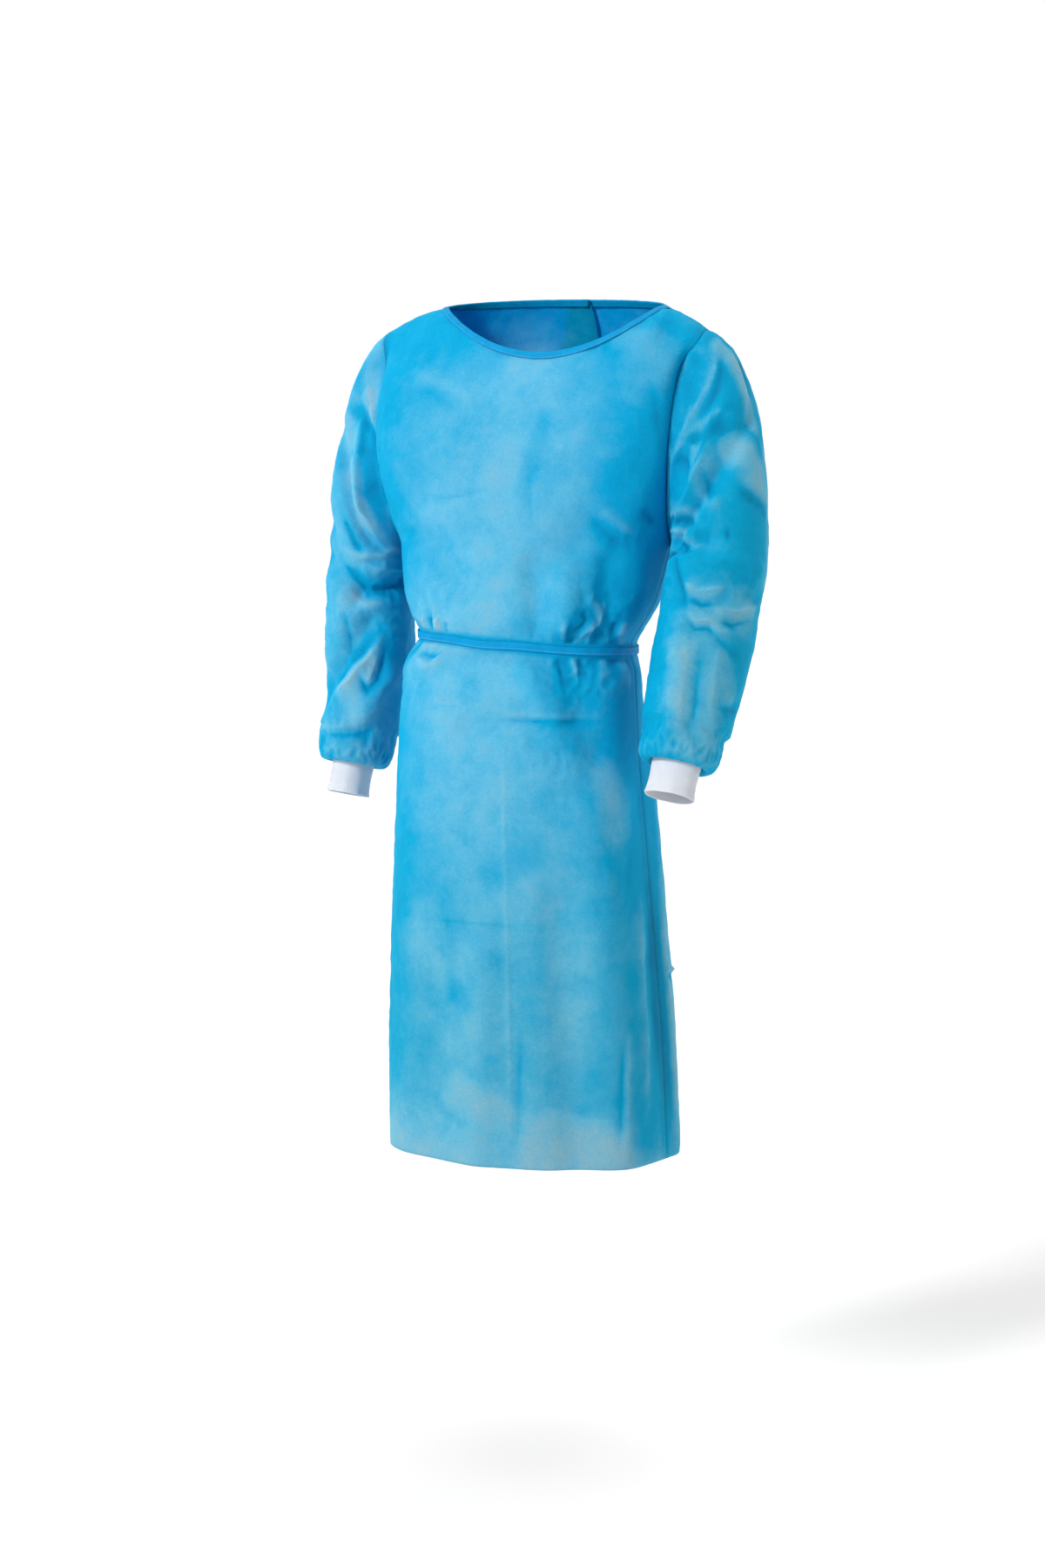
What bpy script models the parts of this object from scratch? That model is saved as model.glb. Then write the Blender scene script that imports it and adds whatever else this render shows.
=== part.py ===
"""Isolation gown of thin nonwoven cloth, in the form it keeps on a standing wearer.

Metres, +Z up. The front faces -Y and the wearer's left is +X. The origin lies between the
shoulders, level with the two ends of the neckline.
"""

import math
from collections import namedtuple

import bmesh
import bpy
import numpy as np

# Cloth and sewing
WALL = 0.0012
SEAM_GAP = 0.0005
SLEEVE_GAP = 0.0006
TAPE_WALL = 0.0008
LAY_GAP = 0.0006
CUFF_WALL = 0.0020

# Body of the gown
HEM_HEIGHT = -1.092
ARMPIT_HEIGHT = -0.305
BELT_HEIGHT = -0.429
BELT_TILT = 0.009
BELT_TILT_REACH = 0.10
SQUARENESS = 2.25

# Neckline and shoulders
NECK_CENTRE_X = -0.004
NECK_HALF_WIDTH = 0.151
NECK_DROP_FRONT = 0.062
NECK_DEPTH_FRONT = 0.088
NECK_RISE_BACK = 0.012
NECK_DEPTH_BACK = 0.074
NECK_SKEW = 0.018
NECK_SHARE = 0.70
TIP_CENTRE_X = -0.012
TIP_HALF_WIDTH = 0.222
TIP_DROP = 0.030
LEAN = 0.02

# Back opening
OVERLAP_HEM = 0.30
OVERLAP_NECK = 0.05
LAYER_LIFT = 0.0054
LIFT_RUN = 0.22

# Tapes
BINDING_WIDTH = 0.0090
CORNER_STEP = 0.12
BELT_WIDTH = 0.0100
BELT_WALL = 0.0014
BELT_CLEARANCE = 0.0008
TAIL_CLEARANCE = 0.0014
TAIL_FALL = 0.035
TAIL_STEPS = 9
TAIL_LEAN = 0.09
NECK_TAIL_LENGTH = 0.15
BELT_TAIL_LENGTH = 0.24
NECK_KNOT = (0.017, 0.008, 0.012)
BELT_KNOT = (0.020, 0.010, 0.014)

# Knit cuffs
CUFF_LEFT_SPANS = (0.0315, 0.0265)
CUFF_RIGHT_SPANS = (0.0275, 0.0300)
CUFF_HIDDEN = 0.016
CUFF_SHOWN = 0.040

# How finely each piece is divided
NECK_COLUMNS = 20
SHOULDER_COLUMNS = 3
BACK_COLUMNS = 9
YOKE_STEPS = (3, 4, 4, 3, 2)
SEAM_STRIP = 0.12
BINDING_STRIP = 0.30
YOKE_ROWS = sum(YOKE_STEPS) + 1
RING_POINTS = 2 * YOKE_ROWS
CAP_RINGS = 11
ARM_RINGS = 8
CUFF_POINTS = 24
BELT_POINTS = 64

GATHERS = 8
GATHER_DEPTH = 0.0022

Section = namedtuple("Section", "height centre_x centre_y half_width front back")
SECTIONS = (
    Section(HEM_HEIGHT, -0.012, -0.054, 0.190, 0.140, 0.142),
    Section(-0.970, -0.012, -0.062, 0.188, 0.134, 0.138),
    Section(-0.720, -0.012, -0.078, 0.174, 0.124, 0.131),
    Section(-0.570, -0.012, -0.084, 0.163, 0.119, 0.127),
    Section(-0.495, -0.012, -0.080, 0.158, 0.117, 0.124),
    Section(BELT_HEIGHT - 0.026, -0.012, -0.070, 0.152, 0.111, 0.115),
    Section(BELT_HEIGHT - 0.008, -0.012, -0.064, 0.144, 0.103, 0.106),
    Section(BELT_HEIGHT + 0.008, -0.012, -0.064, 0.144, 0.103, 0.106),
    Section(BELT_HEIGHT + 0.026, -0.012, -0.060, 0.153, 0.111, 0.111),
    Section(-0.370, -0.014, -0.044, 0.170, 0.121, 0.117),
    Section(ARMPIT_HEIGHT, -0.016, -0.022, 0.184, 0.128, 0.119),
)

# Where the armhole edge and the middle of each panel lie above the armpit
Yoke = namedtuple("Yoke", "centre_x edge_x edge_y edge_height middle_y middle_height")
FRONT_YOKE = (
    Yoke(-0.018, 0.193, -0.050, -0.262, -0.147, -0.256),
    Yoke(-0.020, 0.204, -0.068, -0.172, -0.138, -0.182),
    Yoke(-0.018, 0.206, -0.044, -0.086, -0.116, -0.118),
)
BACK_YOKE = (
    Yoke(-0.018, 0.193, 0.024, -0.262, 0.102, -0.250),
    Yoke(-0.018, 0.204, 0.050, -0.172, 0.108, -0.158),
    Yoke(-0.014, 0.210, 0.040, -0.086, 0.101, -0.078),
)
# From the top edge to the row below it, by share of the way to the shoulder tip
Drop = namedtuple("Drop", "u outward forward down")
FRONT_DROPS = (
    Drop(0.0, 0.0, 0.013, 0.028),
    Drop(0.35, 0.002, 0.017, 0.027),
    Drop(0.70, 0.022, 0.027, 0.019),
    Drop(1.0, 0.0, 0.034, 0.015),
)
BACK_DROPS = (
    Drop(0.0, 0.0, 0.012, 0.034),
    Drop(0.35, 0.002, 0.018, 0.030),
    Drop(0.70, 0.022, 0.027, 0.019),
    Drop(1.0, 0.0, 0.034, 0.015),
)

# Sleeve stations: centre, and half widths sideways and fore-and-aft
Station = namedtuple("Station", "x y height side fore")
LEFT_ARM = (
    Station(0.248, -0.064, -0.340, 0.061, 0.066),
    Station(0.246, -0.081, -0.388, 0.061, 0.066),
    Station(0.242, -0.102, -0.445, 0.061, 0.065),
    Station(0.236, -0.124, -0.510, 0.057, 0.061),
    Station(0.230, -0.150, -0.575, 0.051, 0.054),
)
RIGHT_ARM = (
    Station(-0.264, -0.017, -0.345, 0.057, 0.064),
    Station(-0.264, -0.020, -0.400, 0.057, 0.063),
    Station(-0.261, -0.026, -0.455, 0.056, 0.062),
    Station(-0.265, -0.040, -0.525, 0.052, 0.058),
    Station(-0.272, -0.056, -0.600, 0.050, 0.053),
)
CAP_OUT_TOP = (0.92, 0.0, -0.38)
CAP_OUT = (0.80, 0.0, -0.60)
CAP_FULLNESS = 0.72

# Shape of the sleeve end: height over its lowest ring, and how far it stands off the cuff
Puff = namedtuple("Puff", "rise spread gather")
PUFFS = (
    Puff(0.046, 1.00, 0.3),
    Puff(0.024, 0.98, 0.8),
    Puff(0.010, 0.86, 1.0),
    Puff(0.002, 0.62, 1.0),
    Puff(0.000, 0.34, 0.7),
    Puff(0.004, 0.10, 0.2),
    Puff(0.010, 0.00, 0.0),
)

# Folds of the body: angle from the front middle towards the wearer's left, and height
Fold = namedtuple("Fold", "angle height to_angle to_height half_width depth")
BODY_FOLDS = (
    Fold(-56, -0.372, -40, -0.408, 0.017, -0.008),
    Fold(-64, -0.460, -40, -0.448, 0.017, 0.007),
    Fold(16, -0.330, 24, -0.404, 0.022, -0.008),
    Fold(34, -0.345, 40, -0.408, 0.020, 0.009),
    Fold(20, -0.452, 38, -0.520, 0.020, 0.008),
    Fold(56, -0.330, 64, -0.408, 0.022, -0.010),
    Fold(50, -0.452, 60, -0.560, 0.024, -0.007),
    Fold(-14, -0.528, 50, -0.522, 0.018, -0.005),
    Fold(-4, -0.820, -8, -1.080, 0.030, 0.007),
    Fold(40, -0.760, 44, -1.080, 0.032, -0.010),
    Fold(58, -0.640, 62, -1.080, 0.030, 0.009),
    Fold(-34, -0.860, -38, -1.080, 0.034, -0.006),
    Fold(-66, -0.240, -34, -0.330, 0.030, -0.008),
    Fold(60, -0.200, 30, -0.330, 0.032, -0.008),
    Fold(108, -0.600, 104, -1.080, 0.034, 0.010),
    Fold(132, -0.520, 136, -1.080, 0.032, -0.010),
    Fold(-106, -0.560, -102, -1.080, 0.034, 0.010),
    Fold(-132, -0.480, -138, -1.080, 0.032, -0.010),
    Fold(146, -0.340, 136, -0.406, 0.022, 0.008),
    Fold(-142, -0.340, -134, -0.406, 0.022, 0.008),
    Fold(116, -0.452, 120, -0.520, 0.022, -0.007),
    Fold(-116, -0.452, -122, -0.520, 0.022, -0.007),
    Fold(108, -0.200, 148, -0.330, 0.030, -0.007),
    Fold(-108, -0.200, -148, -0.330, 0.030, -0.007),
)
FOLD_RADIUS = 0.165

# Folds of a sleeve: angle from its outer side through the front, and share of its length
Crease = namedtuple("Crease", "angle along to_angle to_along half_width depth")
LEFT_CREASES = (
    Crease(20, 0.22, 130, 0.42, 0.017, -0.013),
    Crease(50, 0.16, 124, 0.30, 0.015, 0.009),
    Crease(84, 0.50, 168, 0.47, 0.018, -0.012),
    Crease(16, 0.55, 96, 0.57, 0.016, 0.008),
    Crease(30, 0.66, 118, 0.63, 0.016, -0.009),
    Crease(98, 0.70, 84, 0.92, 0.016, 0.007),
    Crease(-60, 0.24, -130, 0.44, 0.018, -0.011),
    Crease(-40, 0.62, -120, 0.56, 0.018, -0.009),
)
RIGHT_CREASES = (
    Crease(36, 0.24, 116, 0.40, 0.016, -0.013),
    Crease(70, 0.10, 100, 0.30, 0.015, 0.009),
    Crease(30, 0.44, 96, 0.54, 0.016, -0.010),
    Crease(34, 0.52, 104, 0.60, 0.015, -0.012),
    Crease(104, 0.60, 176, 0.58, 0.016, -0.010),
    Crease(36, 0.84, 118, 0.68, 0.017, -0.012),
    Crease(150, 0.78, 124, 0.86, 0.015, 0.008),
    Crease(-60, 0.26, -130, 0.44, 0.018, -0.011),
    Crease(-30, 0.62, -120, 0.56, 0.018, -0.009),
)
CREASE_RADIUS = 0.062
SLEEVE_LENGTH = 0.60

Look = namedtuple("Look", "colour roughness")
CLOTH_BLUE = Look((0.22, 0.58, 0.83, 1.0), 0.62)
TAPE_BLUE = Look((0.03, 0.42, 0.71, 1.0), 0.55)
KNIT_WHITE = Look((0.84, 0.84, 0.86, 1.0), 0.85)


def smoothed(share):
    """0 to 1 with level ends."""
    share = np.clip(share, 0.0, 1.0)
    return share * share * (3 - 2 * share)


def unit(vectors):
    """Vectors scaled to length one."""
    vectors = np.asarray(vectors, float)
    return vectors / np.linalg.norm(vectors, axis=-1, keepdims=True)


def through(knots, values, at):
    """Smooth curve through rising knots that never overshoots its values."""
    knots, values = np.asarray(knots, float), np.asarray(values, float)
    steps = np.diff(knots)
    slopes = np.diff(values) / steps
    tangents = np.zeros_like(values)
    tangents[0], tangents[-1] = slopes[0], slopes[-1]
    for i in range(1, len(knots) - 1):
        if slopes[i - 1] * slopes[i] > 0:
            ahead, behind = 2 * steps[i] + steps[i - 1], steps[i] + 2 * steps[i - 1]
            tangents[i] = (ahead + behind) / (ahead / slopes[i - 1] + behind / slopes[i])
    i = np.clip(np.searchsorted(knots, at, side="right") - 1, 0, len(steps) - 1)
    s = (at - knots[i]) / steps[i]
    first = (1 + 2 * s) * (1 - s) ** 2 * values[i] + s * (1 - s) ** 2 * steps[i] * tangents[i]
    return first + s * s * (3 - 2 * s) * values[i + 1] + s * s * (s - 1) * steps[i] * tangents[i + 1]


def column_of(table, name, at, key="height"):
    """One named column of a table, read at a value of its key column."""
    rows = sorted(table, key=lambda row: getattr(row, key))
    return through([getattr(r, key) for r in rows], [getattr(r, name) for r in rows], at)


def line_bump(x, y, x0, y0, x1, y1, half_width):
    """1 on a line from one point to another, falling off smoothly beside it."""
    along = np.array([x1 - x0, y1 - y0])
    share = np.clip(((x - x0) * along[0] + (y - y0) * along[1]) / (along @ along), 0, 1)
    away = np.hypot(x - x0 - share * along[0], y - y0 - share * along[1])
    return np.exp(-((away / half_width) ** 2))


def arc_share(u):
    """Sideways and outward shares of a rounded section, u from -1 to 1 across a panel."""
    angle = np.asarray(u, float) * math.pi / 2
    power = 2 / SQUARENESS
    sideways = np.sign(angle) * np.abs(np.sin(angle)) ** power
    return sideways, np.abs(np.cos(angle)) ** power


def lower_row(facing, u, height):
    """Points of the gown below the armpits. facing is -1 on the front, 1 on the back."""
    depth_name = "front" if facing < 0 else "back"
    centre_x, centre_y, half_width, depth = (
        column_of(SECTIONS, name, height)
        for name in ("centre_x", "centre_y", "half_width", depth_name)
    )
    sideways, outward = arc_share(u)
    tilt = BELT_TILT * math.exp(-(((height - BELT_HEIGHT) / BELT_TILT_REACH) ** 2))
    return np.stack(
        [
            centre_x + half_width * sideways,
            centre_y + facing * depth * outward,
            height - tilt * sideways,
        ],
        axis=-1,
    )


def yoke_row(row, u):
    """Points of a panel between the two armholes."""
    sideways, outward = arc_share(u)
    rise = np.abs(np.sin(np.asarray(u) * math.pi / 2)) ** 3
    return np.stack(
        [
            row.centre_x + row.edge_x * sideways,
            row.edge_y + (row.middle_y - row.edge_y) * outward,
            row.middle_height + (row.edge_height - row.middle_height) * rise,
        ],
        axis=-1,
    )


def top_edge(facing, u):
    """The neckline between the shoulder seams, and the seams from it to the armholes."""
    u = np.asarray(u, float)
    turn = np.clip(u / NECK_SHARE, -1, 1) * math.pi / 2
    seam = np.clip((np.abs(u) - NECK_SHARE) / (1 - NECK_SHARE), 0, 1)
    in_neck = np.cos(turn)
    x = NECK_CENTRE_X + NECK_HALF_WIDTH * np.sin(turn)
    tip = TIP_CENTRE_X + np.sign(u) * TIP_HALF_WIDTH
    x += (tip - x) * seam
    if facing < 0:
        x += NECK_SKEW * in_neck
        y, z = -NECK_DEPTH_FRONT * in_neck, -NECK_DROP_FRONT * in_neck**2
    else:
        y, z = NECK_DEPTH_BACK * in_neck, NECK_RISE_BACK * in_neck
    return np.stack([x, y, z - LEAN * x - TIP_DROP * seam**1.15], axis=-1)


def below_edge(facing, u):
    """The row of points just under the top edge."""
    table = FRONT_DROPS if facing < 0 else BACK_DROPS
    away = np.abs(np.asarray(u, float))
    outward, forward, down = (
        column_of(table, name, away, "u") for name in ("outward", "forward", "down")
    )
    step = np.stack([np.sign(u) * outward, facing * forward, -down], axis=-1)
    return top_edge(facing, u) + step


def upper_row(facing, u, level):
    """Points above the armpits: level 0 at the armpits, 5 at the top edge."""
    table = FRONT_YOKE if facing < 0 else BACK_YOKE
    rows = [
        lower_row(facing, u, ARMPIT_HEIGHT - 0.05),
        lower_row(facing, u, ARMPIT_HEIGHT),
        *(yoke_row(row, u) for row in table),
        below_edge(facing, u),
        top_edge(facing, u),
    ]
    beyond = 2 * rows[-1] - rows[-2]
    over_shoulder = smoothed((np.abs(u) - NECK_SHARE + 0.1) / 0.1)
    beyond[..., 2] += (rows[-2][..., 2] - beyond[..., 2]) * over_shoulder
    rows.append(beyond)
    first = min(int(np.min(level)), len(rows) - 4)
    s = np.expand_dims(level - first, -1)
    a, b, c, d = rows[first : first + 4]
    curve = 2 * b + (c - a) * s + (2 * a - 5 * b + 4 * c - d) * s**2
    return 0.5 * (curve + (3 * b - a - 3 * c + d) * s**3)


def body_heights():
    """Row heights from the hem to the armpits, closest about the belt."""
    skirt = np.linspace(HEM_HEIGHT, BELT_HEIGHT - 0.060, 9)
    waist = BELT_HEIGHT + np.array([-0.036, -0.018, -0.006, 0.006, 0.018, 0.036])
    return np.concatenate([skirt, waist, np.linspace(-0.370, ARMPIT_HEIGHT, 4)])


def yoke_levels():
    """Row levels from the armpits to the top edge, without the first."""
    levels = [
        first + (step + 1) / steps
        for first, steps in enumerate(YOKE_STEPS)
        for step in range(steps)
    ]
    return np.array([*levels[:-1], levels[-1] - SEAM_STRIP, levels[-1]])


def row_level(u, level):
    """A row's level along it: the last but one row leaves room for the neck binding."""
    if level != len(YOKE_STEPS) - SEAM_STRIP:
        return level
    return level - (BINDING_STRIP - SEAM_STRIP) * (np.abs(u) <= NECK_SHARE + 1e-6)


def folded(points, facing):
    """Points of the body pushed in or out by its folds, less near the belt and seams."""
    x, y, z = points[..., 0], points[..., 1], points[..., 2]
    centre_y = column_of(SECTIONS, "centre_y", np.clip(z, HEM_HEIGHT, ARMPIT_HEIGHT))
    angle = np.arctan2(x, -(y - centre_y))
    push = np.zeros_like(x)
    for fold in BODY_FOLDS:
        start, stop = math.radians(fold.angle), math.radians(fold.to_angle)
        push += fold.depth * line_bump(
            angle * FOLD_RADIUS, z, start * FOLD_RADIUS, fold.height,
            stop * FOLD_RADIUS, fold.to_height, fold.half_width,
        )
    belt = BELT_HEIGHT - BELT_TILT * np.sin(angle)
    push *= smoothed((np.abs(z - belt) - 0.006) / 0.024)
    push *= smoothed((ARMPIT_HEIGHT + 0.10 - z) / 0.12)
    outward = np.stack([np.sin(angle), -np.cos(angle), 0 * angle], axis=-1)
    return points + outward * push[..., None]


def body_grid(facing, columns):
    """Rows of points of a panel. columns gives each row's u values from its height share."""
    heights, levels = body_heights(), yoke_levels()
    rows = [lower_row(facing, columns(z), z) for z in heights]
    for level in levels:
        u = columns(0.0, level)
        rows.append(upper_row(facing, u, row_level(u, level)))
    grid = folded(np.array(rows), facing)
    grid[..., 1] += facing * SEAM_GAP / 2
    return grid


def front_columns(height, level=0.0):
    """u values across the front: evenly over the neckline, then over each shoulder."""
    neck = np.linspace(-NECK_SHARE, NECK_SHARE, NECK_COLUMNS + 1)
    shoulder = np.linspace(NECK_SHARE, 1.0, SHOULDER_COLUMNS + 1)[1:]
    return np.concatenate([-shoulder[::-1], neck, shoulder])


def overlap_at(height, level=0.0):
    """How far past the middle of the back a back panel reaches, as a u value."""
    raised = max(height - HEM_HEIGHT, 0) if level == 0 else ARMPIT_HEIGHT - HEM_HEIGHT
    share = 0.7 * raised / (ARMPIT_HEIGHT - HEM_HEIGHT) + 0.3 * level / len(YOKE_STEPS)
    return OVERLAP_HEM + (OVERLAP_NECK - OVERLAP_HEM) * share


def left_back_columns(height, level=0.0):
    """u values of the left back, from the side seam to past the middle."""
    shoulder = np.linspace(1.0, NECK_SHARE, SHOULDER_COLUMNS + 1)[:-1]
    rest = np.linspace(NECK_SHARE, -overlap_at(height, level), BACK_COLUMNS + 1)
    return np.concatenate([shoulder, rest])


def right_back_columns(height, level=0.0):
    """u values of the right back, from past the middle to the side seam."""
    return -left_back_columns(height, level)[::-1]


def lifted(grid, columns):
    """The left back raised off the right back where it lies over it."""
    keys = [(z, 0.0) for z in body_heights()] + [(0.0, level) for level in yoke_levels()]
    lifts = []
    for height, level in keys:
        u = columns(height, level)
        edge = overlap_at(height, level) + 0.04
        lifts.append(LAYER_LIFT * smoothed((edge + LIFT_RUN - u) / LIFT_RUN))
    outward = grid - np.array([0.0, -0.03, 0.0])
    outward[..., 2] = 0.0
    return grid + unit(outward) * np.array(lifts)[..., None]


def body_panels():
    """The skin points of the front and the two backs."""
    return {
        "front": body_grid(-1, front_columns),
        "back_left": lifted(body_grid(1, left_back_columns), left_back_columns),
        "back_right": body_grid(1, right_back_columns),
    }


def armhole(panels, side):
    """The armhole's points: from the shoulder down the front, then up the back."""
    if side > 0:
        front_edge, back_edge = panels["front"][:, -1], panels["back_left"][:, 0]
    else:
        front_edge, back_edge = panels["front"][:, 0], panels["back_right"][:, -1]
    front_edge, back_edge = front_edge[-YOKE_ROWS - 1 :], back_edge[-YOKE_ROWS - 1 :]
    tip, pit = (front_edge[-1] + back_edge[-1]) / 2, (front_edge[0] + back_edge[0]) / 2
    return np.array([tip, *front_edge[-2:0:-1], pit, *back_edge[1:-1]])


def arm_frame(stations, height):
    """Centre, sideways and forward directions, and half widths of a sleeve at a height."""
    def centre(z):
        return np.array([column_of(stations, "x", z), column_of(stations, "y", z), z])

    side = math.copysign(1, stations[0].x)
    step = 0.01
    low = max(height - step, stations[-1].height)
    axis = unit(centre(low) - centre(low + 2 * step))
    sideways = np.array([side, 0.0, 0.0])
    sideways = unit(sideways - axis * (sideways @ axis))
    forward = np.cross(axis, sideways) * side
    forward *= -math.copysign(1, forward[1])
    spans = [column_of(stations, name, height) for name in ("side", "fore")]
    return centre(height), axis, sideways, forward, spans


def ring(centre, sideways, forward, spans, points=RING_POINTS):
    """A closed ring of points: from the outer side through the front."""
    turn = np.arange(points) * 2 * math.pi / points
    out = np.cos(turn)[:, None] * sideways * spans[0]
    return centre + out + np.sin(turn)[:, None] * forward * spans[1]


def cap_rings(loop, first, axis, side):
    """Rings that round the shoulder, from the armhole to the first ring of the arm."""
    loop = loop + np.array([side * SLEEVE_GAP, 0.0, 0.0])
    reach = np.linalg.norm(first - loop, axis=1, keepdims=True) * CAP_FULLNESS
    turn = np.arange(RING_POINTS) * 2 * math.pi / RING_POINTS
    low = smoothed((1 - np.cos(turn)) / 0.8)[:, None]
    out = np.array(CAP_OUT_TOP) * (1 - low) + np.array(CAP_OUT) * low
    leave = unit(out * [side, 1, 1]) * reach
    arrive = axis * reach
    rings = []
    for s in np.linspace(0, 1, CAP_RINGS + 1):
        ends = (1 + 2 * s) * (1 - s) ** 2 * loop + s * s * (3 - 2 * s) * first
        rings.append(ends + s * (1 - s) ** 2 * leave + s * s * (s - 1) * arrive)
    return rings


def creased(rings, axis_points, creases, along):
    """Sleeve rings pushed in or out by the sleeve's folds."""
    turn = np.arange(RING_POINTS) * 2 * math.pi / RING_POINTS
    turn = np.where(turn > math.pi, turn - 2 * math.pi, turn)
    push = np.zeros((len(rings), RING_POINTS))
    for crease in creases:
        ends = [math.radians(crease.angle), math.radians(crease.to_angle)]
        push += crease.depth * line_bump(
            turn[None, :] * CREASE_RADIUS, along[:, None] * SLEEVE_LENGTH,
            ends[0] * CREASE_RADIUS, crease.along * SLEEVE_LENGTH,
            ends[1] * CREASE_RADIUS, crease.to_along * SLEEVE_LENGTH, crease.half_width,
        )
    push *= smoothed(along / 0.08)[:, None] * smoothed((1.0 - along) / 0.10)[:, None]
    return rings + unit(rings - axis_points[:, None, :]) * push[..., None]


def sleeve_rings(panels, side):
    """All rings of a sleeve, from the armhole to its gathered end on the cuff."""
    stations = LEFT_ARM if side > 0 else RIGHT_ARM
    creases = LEFT_CREASES if side > 0 else RIGHT_CREASES
    top, bottom = stations[0].height, stations[-1].height
    centre, axis, sideways, forward, spans = arm_frame(stations, top)
    first = ring(centre, sideways, forward, spans)
    loop = armhole(panels, side)
    rings = cap_rings(loop, first, axis, side)
    middles = [r.mean(axis=0) for r in rings]
    for height in np.linspace(top, bottom + PUFFS[0].rise, ARM_RINGS + 1)[1:-1]:
        centre, axis, sideways, forward, spans = arm_frame(stations, height)
        rings.append(ring(centre, sideways, forward, spans))
        middles.append(centre)
    centre, axis, sideways, forward, spans = arm_frame(stations, bottom)
    turn = np.arange(RING_POINTS) * 2 * math.pi / RING_POINTS
    on_cuff = np.array(CUFF_LEFT_SPANS if side > 0 else CUFF_RIGHT_SPANS) + LAY_GAP
    for puff in PUFFS:
        width = on_cuff + (np.array(spans) - on_cuff) * puff.spread
        here = centre - axis * puff.rise
        points = ring(here, sideways, forward, width)
        wave = GATHER_DEPTH * puff.gather * np.cos(GATHERS * turn)
        rings.append(points + unit(points - here) * wave[:, None])
        middles.append(here)
    rings, middles = np.array(rings), np.array(middles)
    travelled = np.cumsum(np.r_[0, np.linalg.norm(np.diff(rings[:, 0], axis=0), axis=1)])
    return creased(rings, middles, creases, travelled / travelled[-1])


def cuff_rings(side):
    """The rings of a knit cuff, from its hidden top to its open end."""
    stations = LEFT_ARM if side > 0 else RIGHT_ARM
    centre, axis, sideways, forward, _ = arm_frame(stations, stations[-1].height)
    spans = CUFF_LEFT_SPANS if side > 0 else CUFF_RIGHT_SPANS
    return np.array(
        [
            ring(centre + axis * along, sideways, forward, spans, CUFF_POINTS)
            for along in np.linspace(-CUFF_HIDDEN, CUFF_SHOWN, 4)
        ]
    )


def material(name, look):
    """A plain surface of one colour and roughness."""
    made = bpy.data.materials.new(name)
    made.use_nodes = True
    shader = made.node_tree.nodes["Principled BSDF"]
    shader.inputs["Base Color"].default_value = look.colour
    shader.inputs["Roughness"].default_value = look.roughness
    return made


def placed(name, mesh, look):
    """An object holding a mesh, in the gown's collection, with its own material."""
    mesh.materials.append(material(name, look))
    mesh.shade_smooth()
    made = bpy.data.objects.new(name, mesh)
    GOWN.objects.link(made)
    return made


def grid_mesh(name, grid, closed, flipped):
    """A mesh of four-sided faces over rows of points. closed joins each row's ends."""
    rows, columns = grid.shape[:2]
    shape = bmesh.new()
    points = [[shape.verts.new(p) for p in row] for row in grid]
    for i in range(rows - 1):
        for j in range(columns if closed else columns - 1):
            k = (j + 1) % columns
            corners = [points[i][j], points[i][k], points[i + 1][k], points[i + 1][j]]
            shape.faces.new(corners[::-1] if flipped else corners)
    mesh = bpy.data.meshes.new(name)
    shape.to_mesh(mesh)
    shape.free()
    return mesh


def cloth(name, grid, look=CLOTH_BLUE, closed=False, flipped=False, wall=WALL):
    """A panel or tube whose outer side lies on the grid, with its thickness inside."""
    made = placed(name, grid_mesh(name, grid, closed, flipped), look)
    thickness = made.modifiers.new("Thickness", "SOLIDIFY")
    thickness.thickness = wall
    thickness.offset = -1
    return made


def tape(name, sections, closed=False, turned=()):
    """A solid strip over cross-sections. The faces of turned sides split the other way."""
    count, corners = sections.shape[:2]
    shape = bmesh.new()
    points = [[shape.verts.new(p) for p in section] for section in sections]
    for i in range(count if closed else count - 1):
        here, after = points[i], points[(i + 1) % count]
        for j in range(corners):
            k = (j + 1) % corners
            face = [here[j], here[k], after[k], after[j]]
            shape.faces.new(face[1:] + face[:1] if j in turned else face)
    if not closed:
        shape.faces.new(points[0][::-1])
        shape.faces.new(points[-1])
    if shape.calc_volume(signed=True) < 0:
        bmesh.ops.reverse_faces(shape, faces=shape.faces)
    mesh = bpy.data.meshes.new(name)
    shape.to_mesh(mesh)
    shape.free()
    return placed(name, mesh, TAPE_BLUE)


def outer_normals(grid, facing):
    """Directions straight out of a panel at each of its points."""
    normals = unit(np.cross(np.gradient(grid, axis=1), np.gradient(grid, axis=0)))
    return normals * (math.copysign(1, facing) * math.copysign(1, normals[0, 1, 1]))


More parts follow.
